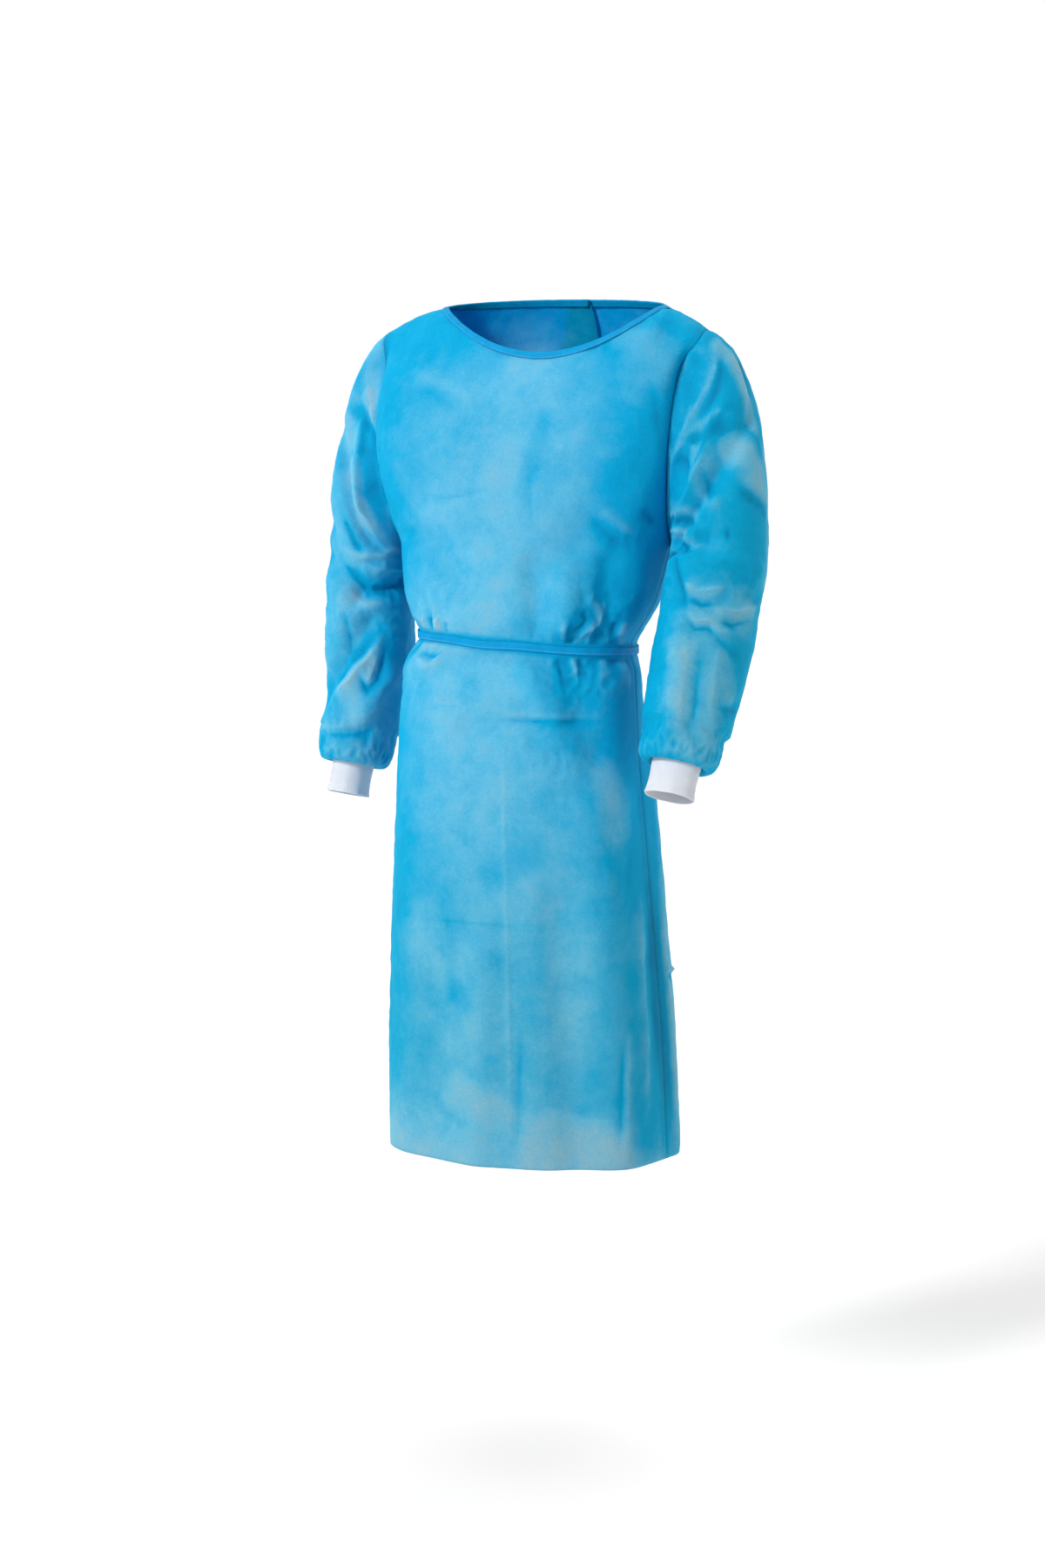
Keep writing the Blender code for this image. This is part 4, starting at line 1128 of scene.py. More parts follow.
def binding_grid(width, wall):
    """The folded tape over the neck edge, as the middle of its thickness, and its way out."""
    top, low, top_out, low_out, rise = neck_path(width)
    outer, inner = BINDING_OUTSIDE + wall / 2, BINDING_INSIDE + wall / 2
    length = np.r_[0, np.cumsum(np.linalg.norm(np.diff(top, axis=0), axis=1))]
    ripple = [noise.noise(Vector((x / BINDING_RIPPLE, 0, 3.1))) for x in length]
    ripple = np.array(ripple)[:, None]
    rows = []
    for share in np.linspace(0, 1, 7):
        puff = BINDING_PUFF * math.sin(math.pi * min(share * 1.15, 1)) * (1 + 0.7 * ripple)
        out = unit(low_out + (top_out - low_out) * share)
        rows.append(low + (top - low) * share + out * (outer + puff))
    for bend in np.linspace(0, math.pi, 7)[1:-1]:
        middle, radius = (outer - inner) / 2, (outer + inner) / 2
        rows.append(top + top_out * (middle + radius * math.cos(bend))
                    + rise * (radius * math.sin(bend) + 0.0003 * ripple))
    for share in np.linspace(1, 0, 6):
        out = unit(low_out + (top_out - low_out) * share)
        rows.append(low + (top - low) * share - out * inner)
    return np.array(rows), low_out


def on_belt(u, facing, step, out):
    """A point on the belt line, raised by a step and pushed out from the cloth."""
    point = lower_row(facing, u, BELT_HEIGHT)
    lift, overlap = 0.0, overlap_at(BELT_HEIGHT)
    if facing > 0:
        lift = layer_lift(u, overlap) * smoothed((u + overlap + 0.16) / 0.10)
    return point + away_from_middle(point) * (out + lift) + [0, 0, step]


def belt_ring(step, out):
    """Points round the gown on the belt line."""
    points = []
    for i in range(BELT_POINTS):
        u = 4 * i / BELT_POINTS - 1
        facing, u = (-1, u) if u <= 1 else (1, 2 - u)
        points.append(on_belt(u, facing, step, out))
    return np.array(points)


def tape_profile(width, wall):
    """A folded tape's rounded section: steps across it and off the cloth."""
    half, points = width / 2, []
    for turn in np.linspace(0, 2 * math.pi, TAPE_CORNERS, endpoint=False):
        across = math.copysign(abs(math.cos(turn)) ** 0.35, math.cos(turn)) * half
        out = math.copysign(abs(math.sin(turn)) ** 0.8, math.sin(turn)) * wall / 2
        off_seam = (across - seam_across(width)) / CHANNEL_WIDTH
        channel = math.exp(-(off_seam**2)) if out > 0 else 0
        points.append((across, wall / 2 + out * (1 - CHANNEL_DEPTH * channel)))
    return points


def seam_across(width):
    """Where a tape's seam runs, from its middle line."""
    return SEAM_INSET - width / 2


def belt_row(across, out):
    """One line of the waist tie round the gown, slightly uneven."""
    row = belt_ring(across, BELT_CLEARANCE + out)
    sway = np.array([noise.noise(Vector(p) / 0.055) for p in row])
    fine = np.array([noise.noise(Vector(p) / 0.012 + Vector((9, 0, 0))) for p in row])
    row[:, 2] += BELT_SWAY * sway
    lean = np.clip(BELT_LEAN * sway * across / BELT_WIDTH * 2, 0, None)
    lean += BELT_UNEVEN * np.clip(fine, 0, None)
    return row + away_from_middle(row) * lean[:, None]


def belt_grid():
    """The waist tie: a folded tape drawn round the gown."""
    return np.array([belt_row(*point) for point in tape_profile(BELT_WIDTH, BELT_THICKNESS)])


def swept(path, across, out, profile):
    """A grid of a tape's section carried along a path with its own directions."""
    return np.array([path + across * a + out * b for a, b in profile])


def tail_grid(start, length, lean, back):
    """A hanging tape end that comes out of its knot and lies just off the back, and its seam."""
    steps = length * np.linspace(0, 1, TAIL_ROWS) ** 1.2
    x, z = start[0] + lean * steps, start[2] - steps
    x = x + math.copysign(TAIL_SWAY, lean) * np.sin(steps / length * 4.2) * steps / length
    lying = np.interp(z, *back) + TAIL_CLEARANCE
    y = lying + np.maximum(start[1] - lying, 0) * (1 - smoothed(steps / TAIL_FALL))
    y = y + TAIL_WAVE * (1 - np.cos(steps / 0.045)) * smoothed(steps / 0.05)
    path = np.stack([x, y, z], axis=1)
    ahead = unit(np.gradient(path, axis=0))
    turn = TAIL_TWIST * np.sin(steps / 0.07) * smoothed(steps / 0.03)
    across = unit(np.stack([np.cos(turn), np.abs(np.sin(turn)), 0 * turn], axis=1))
    out = unit(np.cross(ahead, across))
    out *= np.sign(out[:, 1:2])
    profile = [(a, b - BELT_THICKNESS / 2) for a, b in tape_profile(BELT_WIDTH, BELT_THICKNESS)]
    seam = swept(path, across, out, [(seam_across(BELT_WIDTH), BELT_THICKNESS * 0.4)])[0]
    return swept(path, across, out, profile), seam


def knot_loop(centre, size, tilt, wide):
    """One turn of tape round a knot, tilted on it."""
    turn = np.linspace(0, 2 * math.pi, 48, endpoint=False)
    half_deep, half_high = size[1] / 2 - KNOT_INSET, size[2] / 2 - KNOT_INSET
    flat = np.stack([0 * turn, np.cos(turn) * half_deep, np.sin(turn) * half_high], axis=1)
    pinch = 1 - KNOT_PINCH * np.abs(np.sin(turn))
    lean = np.array([math.cos(tilt), 0, math.sin(tilt)])
    up = np.array([-math.sin(tilt), 0, math.cos(tilt)])
    path = centre + flat[:, :1] * lean + flat[:, 1:2] * [0, 1, 0] + flat[:, 2:] * up
    out = unit(flat)
    out = out[:, 1:2] * [0, 1, 0] + out[:, 2:] * up
    rows = []
    for across, thick in tape_profile(wide, KNOT_TAPE):
        crease = KNOT_CREASE * math.cos(across / wide * 9)
        stand = thick - KNOT_TAPE / 2 + crease
        rows.append(path + lean * (across * pinch)[:, None] + out * stand)
    return np.array(rows)


# ---- meshes


def patched(patches, x, y, radius, length=1.0):
    """The most that any patch gives each point, less what the ones below 0 take away."""
    pale, kept = np.zeros(np.broadcast(x, y).shape), np.ones(np.broadcast(x, y).shape)
    for patch in patches:
        start, stop = math.radians(patch.angle) * radius, math.radians(patch.to_angle) * radius
        away, _, _ = line_distance(x, y, start, patch.place * length, stop, patch.to_place * length)
        share = np.exp(-((away / patch.half_width) ** 3))
        if patch.depth > 0:
            pale = np.maximum(pale, patch.depth * share)
        else:
            kept *= 1 + patch.depth * share
    return pale * kept


def painted_crease_light(push):
    """Painted light: ridges are painted paler, as light caught through the cloth, and valleys
    darker, as painted shade where the cloth lies in them twice.
    """
    return CREASE_PAINTED_LIGHT * np.clip(push / CREASE_PAINTED_LIGHT_HEIGHT, -0.8, 1)


def grid_faces(rows, columns, closed, flipped):
    """Corner indices of the faces over a grid, and the same in an unwrapped grid."""
    i, j = np.indices((rows - 1, columns if closed else columns - 1)).reshape(2, -1)
    across = np.stack([j, j + 1, j + 1, j], axis=1)
    down = np.stack([i, i, i + 1, i + 1], axis=1)
    if flipped:
        across, down = across[:, ::-1], down[:, ::-1]
    return down * columns + across % columns, down * (columns + 1) + across


def unrolled_uv(grid, closed):
    """Distances in metres across and along a grid, for patterns that follow the cloth."""
    wide = np.concatenate([grid, grid[:, :1]], axis=1) if closed else grid
    across = np.cumsum(np.linalg.norm(np.diff(wide, axis=1), axis=2), axis=1)
    across = np.concatenate([np.zeros((len(wide), 1)), across], axis=1)
    across -= across[:, across.shape[1] // 2][:, None]
    middle = wide[:, wide.shape[1] // 2]
    along = np.r_[0, np.cumsum(np.linalg.norm(np.diff(middle, axis=0), axis=1))]
    return np.stack([across, np.broadcast_to(along[:, None], across.shape)], axis=-1)


def linked(name, data):
    """An object of some data, in the scene."""
    made = bpy.data.objects.new(name, data)
    bpy.context.scene.collection.objects.link(made)
    return made


def grid_object(name, grid, closed=False, flipped=False, pale=None, doubled=False, capped=False):
    """An object with four-sided faces over rows of points, with a map in metres.

    closed joins each row's ends, doubled joins the last row to the first as well, and capped
    closes the first and the last row.
    """
    if doubled:
        grid = np.concatenate([grid, grid[:1]])
    rows, columns = grid.shape[:2]
    faces, unwrapped = grid_faces(rows, columns, closed, flipped)
    faces, corners = faces.tolist(), (unwrapped if closed else faces).ravel()
    uv = unrolled_uv(grid, closed).reshape(-1, 2)[corners]
    if capped:
        ends = [list(range(columns))[::-1], list(range((rows - 1) * columns, rows * columns))]
        faces += ends
        uv = np.concatenate([uv, np.zeros((2 * columns, 2))])
    mesh = bpy.data.meshes.new(name)
    mesh.from_pydata(grid.reshape(-1, 3).tolist(), [], faces)
    layer = mesh.uv_layers.new(name="cloth")
    layer.data.foreach_set("uv", uv.astype(np.float32).ravel())
    if pale is not None:
        kept = mesh.attributes.new("paleness", "FLOAT", "POINT")
        kept.data.foreach_set("value", pale.astype(np.float32).ravel())
    shape = bmesh.new()
    shape.from_mesh(mesh)
    if doubled:
        bmesh.ops.remove_doubles(shape, verts=shape.verts, dist=1e-7)
    if (doubled or capped) and shape.calc_volume(signed=True) < 0:
        bmesh.ops.reverse_faces(shape, faces=shape.faces)
    shape.to_mesh(mesh)
    shape.free()
    mesh.shade_smooth()
    return linked(name, mesh)


def joined(name, parts):
    """Several objects as one."""
    shape = bmesh.new()
    for part in parts:
        shape.from_mesh(part.data)
        bpy.data.objects.remove(part)
    mesh = bpy.data.meshes.new(name)
    shape.to_mesh(mesh)
    shape.free()
    mesh.shade_smooth()
    return linked(name, mesh)


def thickened(made, wall, offset=-1):
    """The piece with its cloth's thickness added, on the inner side unless told otherwise."""
    thickness = made.modifiers.new("Thickness", "SOLIDIFY")
    thickness.thickness = wall
    thickness.offset = offset
    return made


# ---- materials


def add_node(tree, kind, inputs=None, **settings):
    """A node with its settings. An input given a socket is linked to it."""
    node = tree.nodes.new(kind)
    for key, value in settings.items():
        setattr(node, key, value)
    for key, value in (inputs or {}).items():
        if isinstance(value, bpy.types.NodeSocket):
            tree.links.new(value, node.inputs[key])
        else:
            node.inputs[key].default_value = value
    return node


def mixed(tree, share, first, second):
    """A colour between two, each of them a socket or linear values."""
    inputs = {"Factor": share}
    for key, colour in (("A", first), ("B", second)):
        inputs[key] = colour if isinstance(colour, bpy.types.NodeSocket) else (*colour, 1)
    return add_node(tree, "ShaderNodeMix", inputs, data_type="RGBA").outputs["Result"]


def reckoned(tree, operation, *values):
    """The result of a sum on numbers or sockets."""
    return add_node(tree, "ShaderNodeMath", dict(enumerate(values)), operation=operation).outputs[0]


def ranged(tree, value, low, high=1.0, to_low=0.0, to_high=1.0, kind="LINEAR"):
    """A value carried over from one range to another."""
    inputs = {"Value": value, "From Min": low, "From Max": high,
              "To Min": to_low, "To Max": to_high}
    return add_node(tree, "ShaderNodeMapRange", inputs, interpolation_type=kind).outputs["Result"]


def speckled(tree, place, size, detail, roughness=0.5):
    """Noise of about one size in metres, with finer noise in it."""
    inputs = {"Vector": place, "Scale": 1 / size, "Detail": detail, "Roughness": roughness}
    return add_node(tree, "ShaderNodeTexNoise", inputs).outputs["Fac"]


def bumped(tree, height, strength, distance, over=None):
    """The surface's direction with a bump of some metres, laid over another bump if given."""
    inputs = {"Height": height, "Strength": strength, "Distance": distance}
    if over is not None:
        inputs["Normal"] = over
    return add_node(tree, "ShaderNodeBump", inputs).outputs[0]


def object_place(tree):
    """Where a point is on its object, in metres."""
    return add_node(tree, "ShaderNodeTexCoord").outputs["Object"]


def cloth_place(tree):
    """Where a point is across and along its cloth, in metres."""
    return add_node(tree, "ShaderNodeUVMap", uv_map="cloth").outputs["UV"]


def new_material(name, constants):
    """A material with constants set on its shader, and its tree."""
    made = bpy.data.materials.new(name)
    made.use_nodes = True
    tree = made.node_tree
    shader = tree.nodes["Principled BSDF"]
    for key, value in constants.items():
        shader.inputs[key].default_value = value
    return made, tree


def dressed(made, colour, normal=None):
    """The material with its colour and its surface's direction linked to the shader."""
    tree = made.node_tree
    shader = tree.nodes["Principled BSDF"]
    tree.links.new(colour, shader.inputs["Base Color"])
    if normal is not None:
        tree.links.new(normal, shader.inputs["Normal"])
    return made


def scaled(colour, share):
    """A colour made darker or lighter, never over 1."""
    return [min(part * share, 1) for part in colour]


def nonwoven_material(cloth):
    """Spunbond polypropylene: matt, cloudy with loose fibre, paler where it lies close, with
    painted highlight and shade over its creases and painted shade towards its left side and hem.
    """
    if NONWOVEN in bpy.data.materials:
        return bpy.data.materials[NONWOVEN]
    # Light passes through the thin cloth, most of it blue, so shaded sides glow a little
    made, tree = new_material(NONWOVEN, {
        "Roughness": 0.70, "Specular IOR Level": 0.06, "Subsurface Weight": 0.5,
        "Subsurface Radius": (0.0006, 0.0015, 0.0024), "Subsurface Scale": 1.0})
    place = object_place(tree)
    near = add_node(tree, "ShaderNodeAttribute", attribute_name="paleness").outputs["Fac"]
    # The web of fibre is laid unevenly: clouds some 60 mm wide with finer ones in them, that
    # show more where the cloth is pale
    clouds = speckled(tree, place, 0.060, 6.0, 0.68)
    shift = reckoned(tree, "SUBTRACT", clouds, 0.5)
    swing = reckoned(tree, "MULTIPLY_ADD", near, 2.1, 0.34)
    spread = reckoned(tree, "MULTIPLY_ADD", shift, swing, near)
    step = ranged(tree, spread, DOUBLED_AND_SHADED)
    # The ramp runs from painted shade in folds and doubled cloth, through the cloth's own blue, to
    # paler blue where it lies close and the painted highlight on ridges
    ground = add_node(tree, "ShaderNodeValToRGB", {"Fac": step})
    ramp = ground.color_ramp
    ramp.elements[0].color = (*cloth.doubled_and_shaded_colour, 1)
    ramp.elements[1].color = (*cloth.palest_colour, 1)
    for level, colour in ((0.05, cloth.deep_colour), (0.50, cloth.pale_colour)):
        ramp.elements.new((level - DOUBLED_AND_SHADED) / (1 - DOUBLED_AND_SHADED)).color = (*colour, 1)
    # Fibre speckle about 3 mm across, coarser than real fibre so that it shows
    fibres = speckled(tree, place, 0.0030, 3.0, 0.75)
    mottle = ranged(tree, fibres, 0.25, 0.75, 0.90, 1.10)
    colour = add_node(tree, "ShaderNodeVectorMath",
                      {0: ground.outputs["Color"], "Scale": mottle}, operation="SCALE").outputs[0]
    # Painted shade: darker and greener towards the wearer's left, the side turned from the key
    # light, and towards the hem
    parts = add_node(tree, "ShaderNodeSeparateXYZ", {"Vector": place}).outputs
    leftward = ranged(tree, parts["X"], 0.08, 0.32, 0.0, 0.5, "SMOOTHSTEP")
    downward = ranged(tree, parts["Z"], -0.45, -1.05, 0.0, 1.0, "SMOOTHSTEP")
    share = reckoned(tree, "MAXIMUM", leftward, downward)
    cast = mixed(tree, share, (1, 1, 1), cloth.cast)
    tinted = add_node(tree, "ShaderNodeVectorMath", {0: colour, 1: cast}, operation="MULTIPLY")
    # Bond points 1.6 mm apart, the fibres' own relief, and soft dents some 12 mm wide that are
    # too small for the mesh
    bonds = add_node(tree, "ShaderNodeTexVoronoi",
                     {"Vector": cloth_place(tree), "Scale": 1 / 0.0016, "Randomness": 0.35})
    normal = bumped(tree, bonds.outputs["Distance"], 0.25, 0.0003)
    normal = bumped(tree, fibres, 0.35, 0.0006, normal)
    normal = bumped(tree, speckled(tree, place, 0.012, 2.0), 0.4, 0.0012, normal)
    return dressed(made, tinted.outputs[0], normal)


def tape_material(trim):
    """Folded nonwoven tape: four layers of the same cloth, so its blue is deep."""
    made, tree = new_material(
        "folded nonwoven tape", {"Roughness": 0.6, "Specular IOR Level": 0.08})
    clouds = speckled(tree, object_place(tree), 0.012, 4.0)
    colour = mixed(tree, clouds, scaled(trim.tape_colour, 0.8), scaled(trim.tape_colour, 1.25))
    return dressed(made, colour, bumped(tree, clouds, 0.3, 0.0006))


def thread_material(trim):
    """Spun polyester thread: a little paler than the tape it is sewn through."""
    made, tree = new_material(
        "spun polyester thread", {"Roughness": 0.5, "Specular IOR Level": 0.2})
    twist = speckled(tree, object_place(tree), 0.0009, 2.0)
    return dressed(made, mixed(tree, twist, scaled(trim.thread_colour, 0.75), trim.thread_colour))


def knit_material(knit):
    """Rib knit of cotton and polyester: matt white with fine upright ribs."""
    made, tree = new_material(
        "rib knit cotton and polyester", {"Roughness": 0.85, "Sheen Weight": 0.2})
    place = cloth_place(tree)
    # The texture's waves are a twentieth of a turn long at a scale of 1
    waves = {"Vector": place, "Scale": 2 * math.pi / knit.rib_pitch / 20, "Distortion": 0.4}
    ribs = add_node(tree, "ShaderNodeTexWave", waves, bands_direction="X").outputs["Fac"]
    loops = add_node(tree, "ShaderNodeTexVoronoi", {"Vector": place, "Scale": 1 / 0.0011})
    normal = bumped(tree, ribs, 0.5, 0.0004)
    normal = bumped(tree, loops.outputs["Distance"], 0.3, 0.0003, normal)
    # Painted shade: the knit is darker in the grooves between its ribs
    colour = mixed(tree, ribs, scaled(knit.knit_colour, 0.86), knit.knit_colour)
    return dressed(made, colour, normal)


def floor_material(stage):
    """Matt white studio paper, with no pattern that could show behind the gown."""
    constants = {"Base Color": (*stage.floor_colour, 1), "Roughness": 0.9}
    return new_material("matt studio paper", constants)[0]


# ---- stitches


def stitch_tree(surface):
    """Lays stitches end to end along a path, each a short rounded run of thread."""
    tree = bpy.data.node_groups.new("Stitches along a path", "GeometryNodeTree")
    for name, kind in (("Path", "NodeSocketGeometry"), ("Stitch length", "NodeSocketFloat"),
                       ("Stitch gap", "NodeSocketFloat"), ("Thread width", "NodeSocketFloat")):
        tree.interface.new_socket(name=name, in_out="INPUT", socket_type=kind)
    tree.interface.new_socket(name="Stitches", in_out="OUTPUT", socket_type="NodeSocketGeometry")
    given = add_node(tree, "NodeGroupInput").outputs
    curve = add_node(tree, "GeometryNodeMeshToCurve", {"Mesh": given["Path"]})
    pitch = reckoned(tree, "ADD", given["Stitch length"], given["Stitch gap"])
    points = add_node(tree, "GeometryNodeResampleCurve",
                      {"Curve": curve.outputs[0], "Length": pitch}, mode="LENGTH")
    half_long = reckoned(tree, "MULTIPLY", given["Stitch length"], 0.5)
    half_wide = reckoned(tree, "MULTIPLY", given["Thread width"], 0.5)
    size = add_node(tree, "ShaderNodeCombineXYZ", {"X": half_wide, "Y": half_wide, "Z": half_long})
    ball = add_node(tree, "GeometryNodeMeshUVSphere", {"Segments": 8, "Rings": 6, "Radius": 1.0})
    thread = add_node(tree, "GeometryNodeTransform",
                      {"Geometry": ball.outputs[0], "Scale": size.outputs[0]})
    tangent = add_node(tree, "GeometryNodeInputTangent").outputs[0]
    turn = add_node(tree, "FunctionNodeAlignRotationToVector", {"Vector": tangent}, axis="Z")
    uneven = add_node(tree, "FunctionNodeRandomValue",
                      {"Min": (0.9, 0.9, 0.85), "Max": (1.15, 1.15, 1.1), "Seed": STITCH_SEED},
                      data_type="FLOAT_VECTOR")
    placed = add_node(tree, "GeometryNodeInstanceOnPoints", {
        "Points": points.outputs[0], "Instance": thread.outputs[0], "Rotation": turn.outputs[0],
        "Scale": uneven.outputs[0]})
    real = add_node(tree, "GeometryNodeRealizeInstances", {"Geometry": placed.outputs[0]})
    painted = add_node(tree, "GeometryNodeSetMaterial",
                       {"Geometry": real.outputs[0], "Material": surface})
    add_node(tree, "NodeGroupOutput", {"Stitches": painted.outputs[0]})
    return tree


def stitched(name, path, trim, tree, closed=False):
    """A row of stitches along a path, as a plain mesh."""
    count = len(path)
    edges = [(i, (i + 1) % count) for i in range(count if closed else count - 1)]
    mesh = bpy.data.meshes.new(name)
    mesh.from_pydata(path.tolist(), edges, [])
    made = linked(name, mesh)
    laid = made.modifiers.new("Stitches", "NODES")
    laid.node_group = tree
    sizes = {"Stitch length": trim.stitch_length, "Stitch gap": trim.stitch_gap,
             "Thread width": trim.thread_width}
    for socket in tree.interface.items_tree:
        if socket.name in sizes:
            laid[socket.identifier] = sizes[socket.name]
    ready = made.evaluated_get(bpy.context.evaluated_depsgraph_get())
    plain = bpy.data.meshes.new_from_object(ready)
    made.modifiers.clear()
    made.data = plain
    plain.shade_smooth()
    return made


# ---- finishing a piece


def settled(made, surface, node):
    """A finished piece: its material, the body it rides on and the node it stands for."""
    made.data.materials.clear()
    made.data.materials.append(surface)
    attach(made, "root")
    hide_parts(node)
    return made


# ---- settings


def length_setting(name, description, default, low=-10.0, high=10.0):
    """A setting in metres, with its limits."""
    return FloatProperty(name=name, description=description, default=default, min=low, max=high,
                         unit="LENGTH")


def number_setting(name, description, default, low, high):
    """A setting without a unit, with its limits."""
    return FloatProperty(name=name, description=description, default=default, min=low, max=high)


def colour_setting(name, description, default):
    """A colour, held as the linear values that shaders take."""
    return FloatVectorProperty(name=name, description=description, default=default, min=0, max=1,
                               subtype="COLOR")


class GownCloth(bpy.types.PropertyGroup):
    """Sizes and colours of the blue cloth."""

    thickness: length_setting(
        "Cloth thickness", "Thickness of the nonwoven cloth", 0.0005, 0.0001, 0.0012)
    crinkle: length_setting(
        "Crinkle height", "Height of the small crinkles all over the cloth", 0.0011, 0.0, 0.004)
    gather: length_setting(
        "Gather height", "Height of the gathers at the sleeve ends", 0.0018, 0.0, 0.005)
    deep_colour: colour_setting(
        "Blue away from the body", "Colour where the cloth stands away", linear("#009ACC"))
    # Painted shade: the colour of crease valleys and seams, for shade in the folds as well as cloth
    # lying doubled
    doubled_and_shaded_colour: colour_setting(
        "Blue in the folds", "Colour where the cloth lies on itself", linear("#0078A8"))
    pale_colour: colour_setting(
        "Blue against the body", "Colour where the cloth lies close", linear("#5AACD3"))
    palest_colour: colour_setting(
        "Blue over the legs", "Colour where the light comes through the hem", linear("#7CAFC8"))
    # Painted shade, warm and greener, on the side turned from the key light and at the hem
    cast: colour_setting(
        "Greener cast", "Share of each colour kept at the left side and the hem",
        (0.92, 0.86, 0.76))


class GownTrim(bpy.types.PropertyGroup):
    """Sizes and colours of the tapes and the thread."""

    binding_width: length_setting(
        "Binding width", "How far the neck binding reaches down each side", 0.0090, 0.004, 0.02)
    tape_thickness: length_setting(
        "Tape thickness", "Thickness of the folded tape", 0.0006, 0.0002, 0.0015)
    stitch_length: length_setting(
        "Stitch length", "Length of one stitch on the surface", 0.0024, 0.001, 0.006)
    stitch_gap: length_setting(
        "Stitch gap", "Gap between two stitches", 0.0010, 0.0002, 0.004)
    thread_width: length_setting(
        "Thread width", "Thickness of the sewing thread", 0.0006, 0.0002, 0.0015)
    tape_colour: colour_setting(
        "Tape blue", "Colour of the folded tapes", linear("#008CC4"))
    thread_colour: colour_setting(
        "Thread blue", "Colour of the sewing thread", linear("#6FB8D8"))


class GownKnit(bpy.types.PropertyGroup):
    """Size and colour of the knit cuffs."""

    rib_pitch: length_setting(
        "Rib pitch", "Distance from one rib of the knit to the next", 0.0016, 0.0006, 0.004)
    knit_colour: colour_setting(
        "Knit white", "Colour of the knit cuffs", linear("#D9DDE6"))


class GownStage(bpy.types.PropertyGroup):
    """Floor, light and camera."""

    floor_height: length_setting(
        "Floor height", "Height of the floor under the neckline", -1.50)
    floor_colour: colour_setting(
        "Floor white", "Colour of the floor", linear("#F4F4F4"))
    room_colour: colour_setting(
        "Room light", "Light from the room in front of the gown", (0.205, 0.20, 0.17))
    key_strength: number_setting(
        "Key strength", "Strength of the main light", 2.45, 0, 20)
    top_strength: number_setting(
        "Top light", "Strength of the light from above", 1.1, 0, 20)
    side_strength: number_setting(
        "Side light", "Strength of the light from the camera's right", 0.75, 0, 20)
    key_softness: FloatProperty(
        name="Key softness", description="Angle over which the main light is spread",
        default=math.radians(15), subtype="ANGLE")
    azimuth: FloatProperty(
        name="Camera azimuth", description="Turn of the camera towards the wearer's left",
        default=math.radians(25), subtype="ANGLE")
    distance: length_setting(
        "Camera distance", "Distance from the camera to the gown's middle", 4.0, 1, 20)
    lens: number_setting(
        "Lens", "Focal length in millimetres", 70.3, 20, 200)


# ---- pieces


def back_profile():
    """Heights down the middle of the back and the y of the outermost cloth there."""
    points = lifted(body_grid(1, left_back_columns, body_keys()), left_back_columns, body_keys())
    outermost = np.where(np.abs(points[..., 0] - NECK_CENTRE_X) < 0.05, points[..., 1], -1.0)
    return points[:, -1, 2], outermost.max(axis=1)


def tie(place, centre, size, length, back, surface, sewn):
    """A knot of two turns of tape and its two hanging ends, each with its seam."""
    loops = [knot_loop(centre, size, tilt, share * size[0]) for tilt, share in KNOT_TURNS]
    loops = [grid_object(f"{place}_knot_turn", loop, True, doubled=True) for loop in loops]
    knot = settled(joined(f"{place}_knot_tape", loops), surface, f"{place}_knot")
    bottom = centre[2] - size[2] / 2 + TAIL_HIDDEN
    for name, side in (("left", 1), ("right", -1)):
        start = centre[0] + side * (BELT_WIDTH / 2 + TAIL_APART), centre[1], bottom
        grid, seam = tail_grid(start, length, side * TAIL_LEAN, back)
        node = f"{place}_tail_{name}"
        tail = grid_object(f"{node}_tape", np.swapaxes(grid, 0, 1), True, capped=True)
        settled(tail, surface, node)
        stitches = sewn(f"{node}_stitches", seam, node)
    return knot


class GOWN_OT_body(bpy.types.Operator):
    """Make the front and the two back panels"""

    bl_idname = "gown.body"
    bl_label = "Body panels"

    def execute(self, context):
        cloth = context.scene.gown_cloth
        surface = nonwoven_material(cloth)
        for name, grid in body_panels(body_keys()).items():
            grid, pale = creased_panel(name, grid, cloth.crinkle)
            made = grid_object(f"{name}_cloth", grid, pale=pale)
            thickened(made, cloth.thickness)
            settled(made, surface, name)
        return {"FINISHED"}


class GOWN_OT_sleeves(bpy.types.Operator):
    """Make the two set-in sleeves"""

    bl_idname = "gown.sleeves"
    bl_label = "Sleeves"

    def execute(self, context):
        cloth = context.scene.gown_cloth
        surface = nonwoven_material(cloth)
        panels = body_panels(body_keys())
        for name, side in (("left", 1), ("right", -1)):
            rings, pale = creased_sleeve(panels, side, cloth.crinkle, cloth.gather)
            made = grid_object(f"sleeve_{name}_cloth", rings, True, side < 0, pale)
            thickened(made, cloth.thickness)
            settled(made, surface, f"sleeve_{name}")
        return {"FINISHED"}


class GOWN_OT_cuffs(bpy.types.Operator):
    """Make the two knit cuffs"""

    bl_idname = "gown.cuffs"
    bl_label = "Knit cuffs"

    def execute(self, context):
        knit = context.scene.gown_knit
        surface = knit_material(knit)
        for name, side, spans in (("left", 1, CUFF_LEFT_SPANS), ("right", -1, CUFF_RIGHT_SPANS)):
            ribs = round(math.pi * sum(spans) / knit.rib_pitch)
            made = grid_object(f"cuff_{name}_knit", cuff_grid(side, ribs), True, side < 0)
            settled(made, surface, f"cuff_{name}")
        return {"FINISHED"}


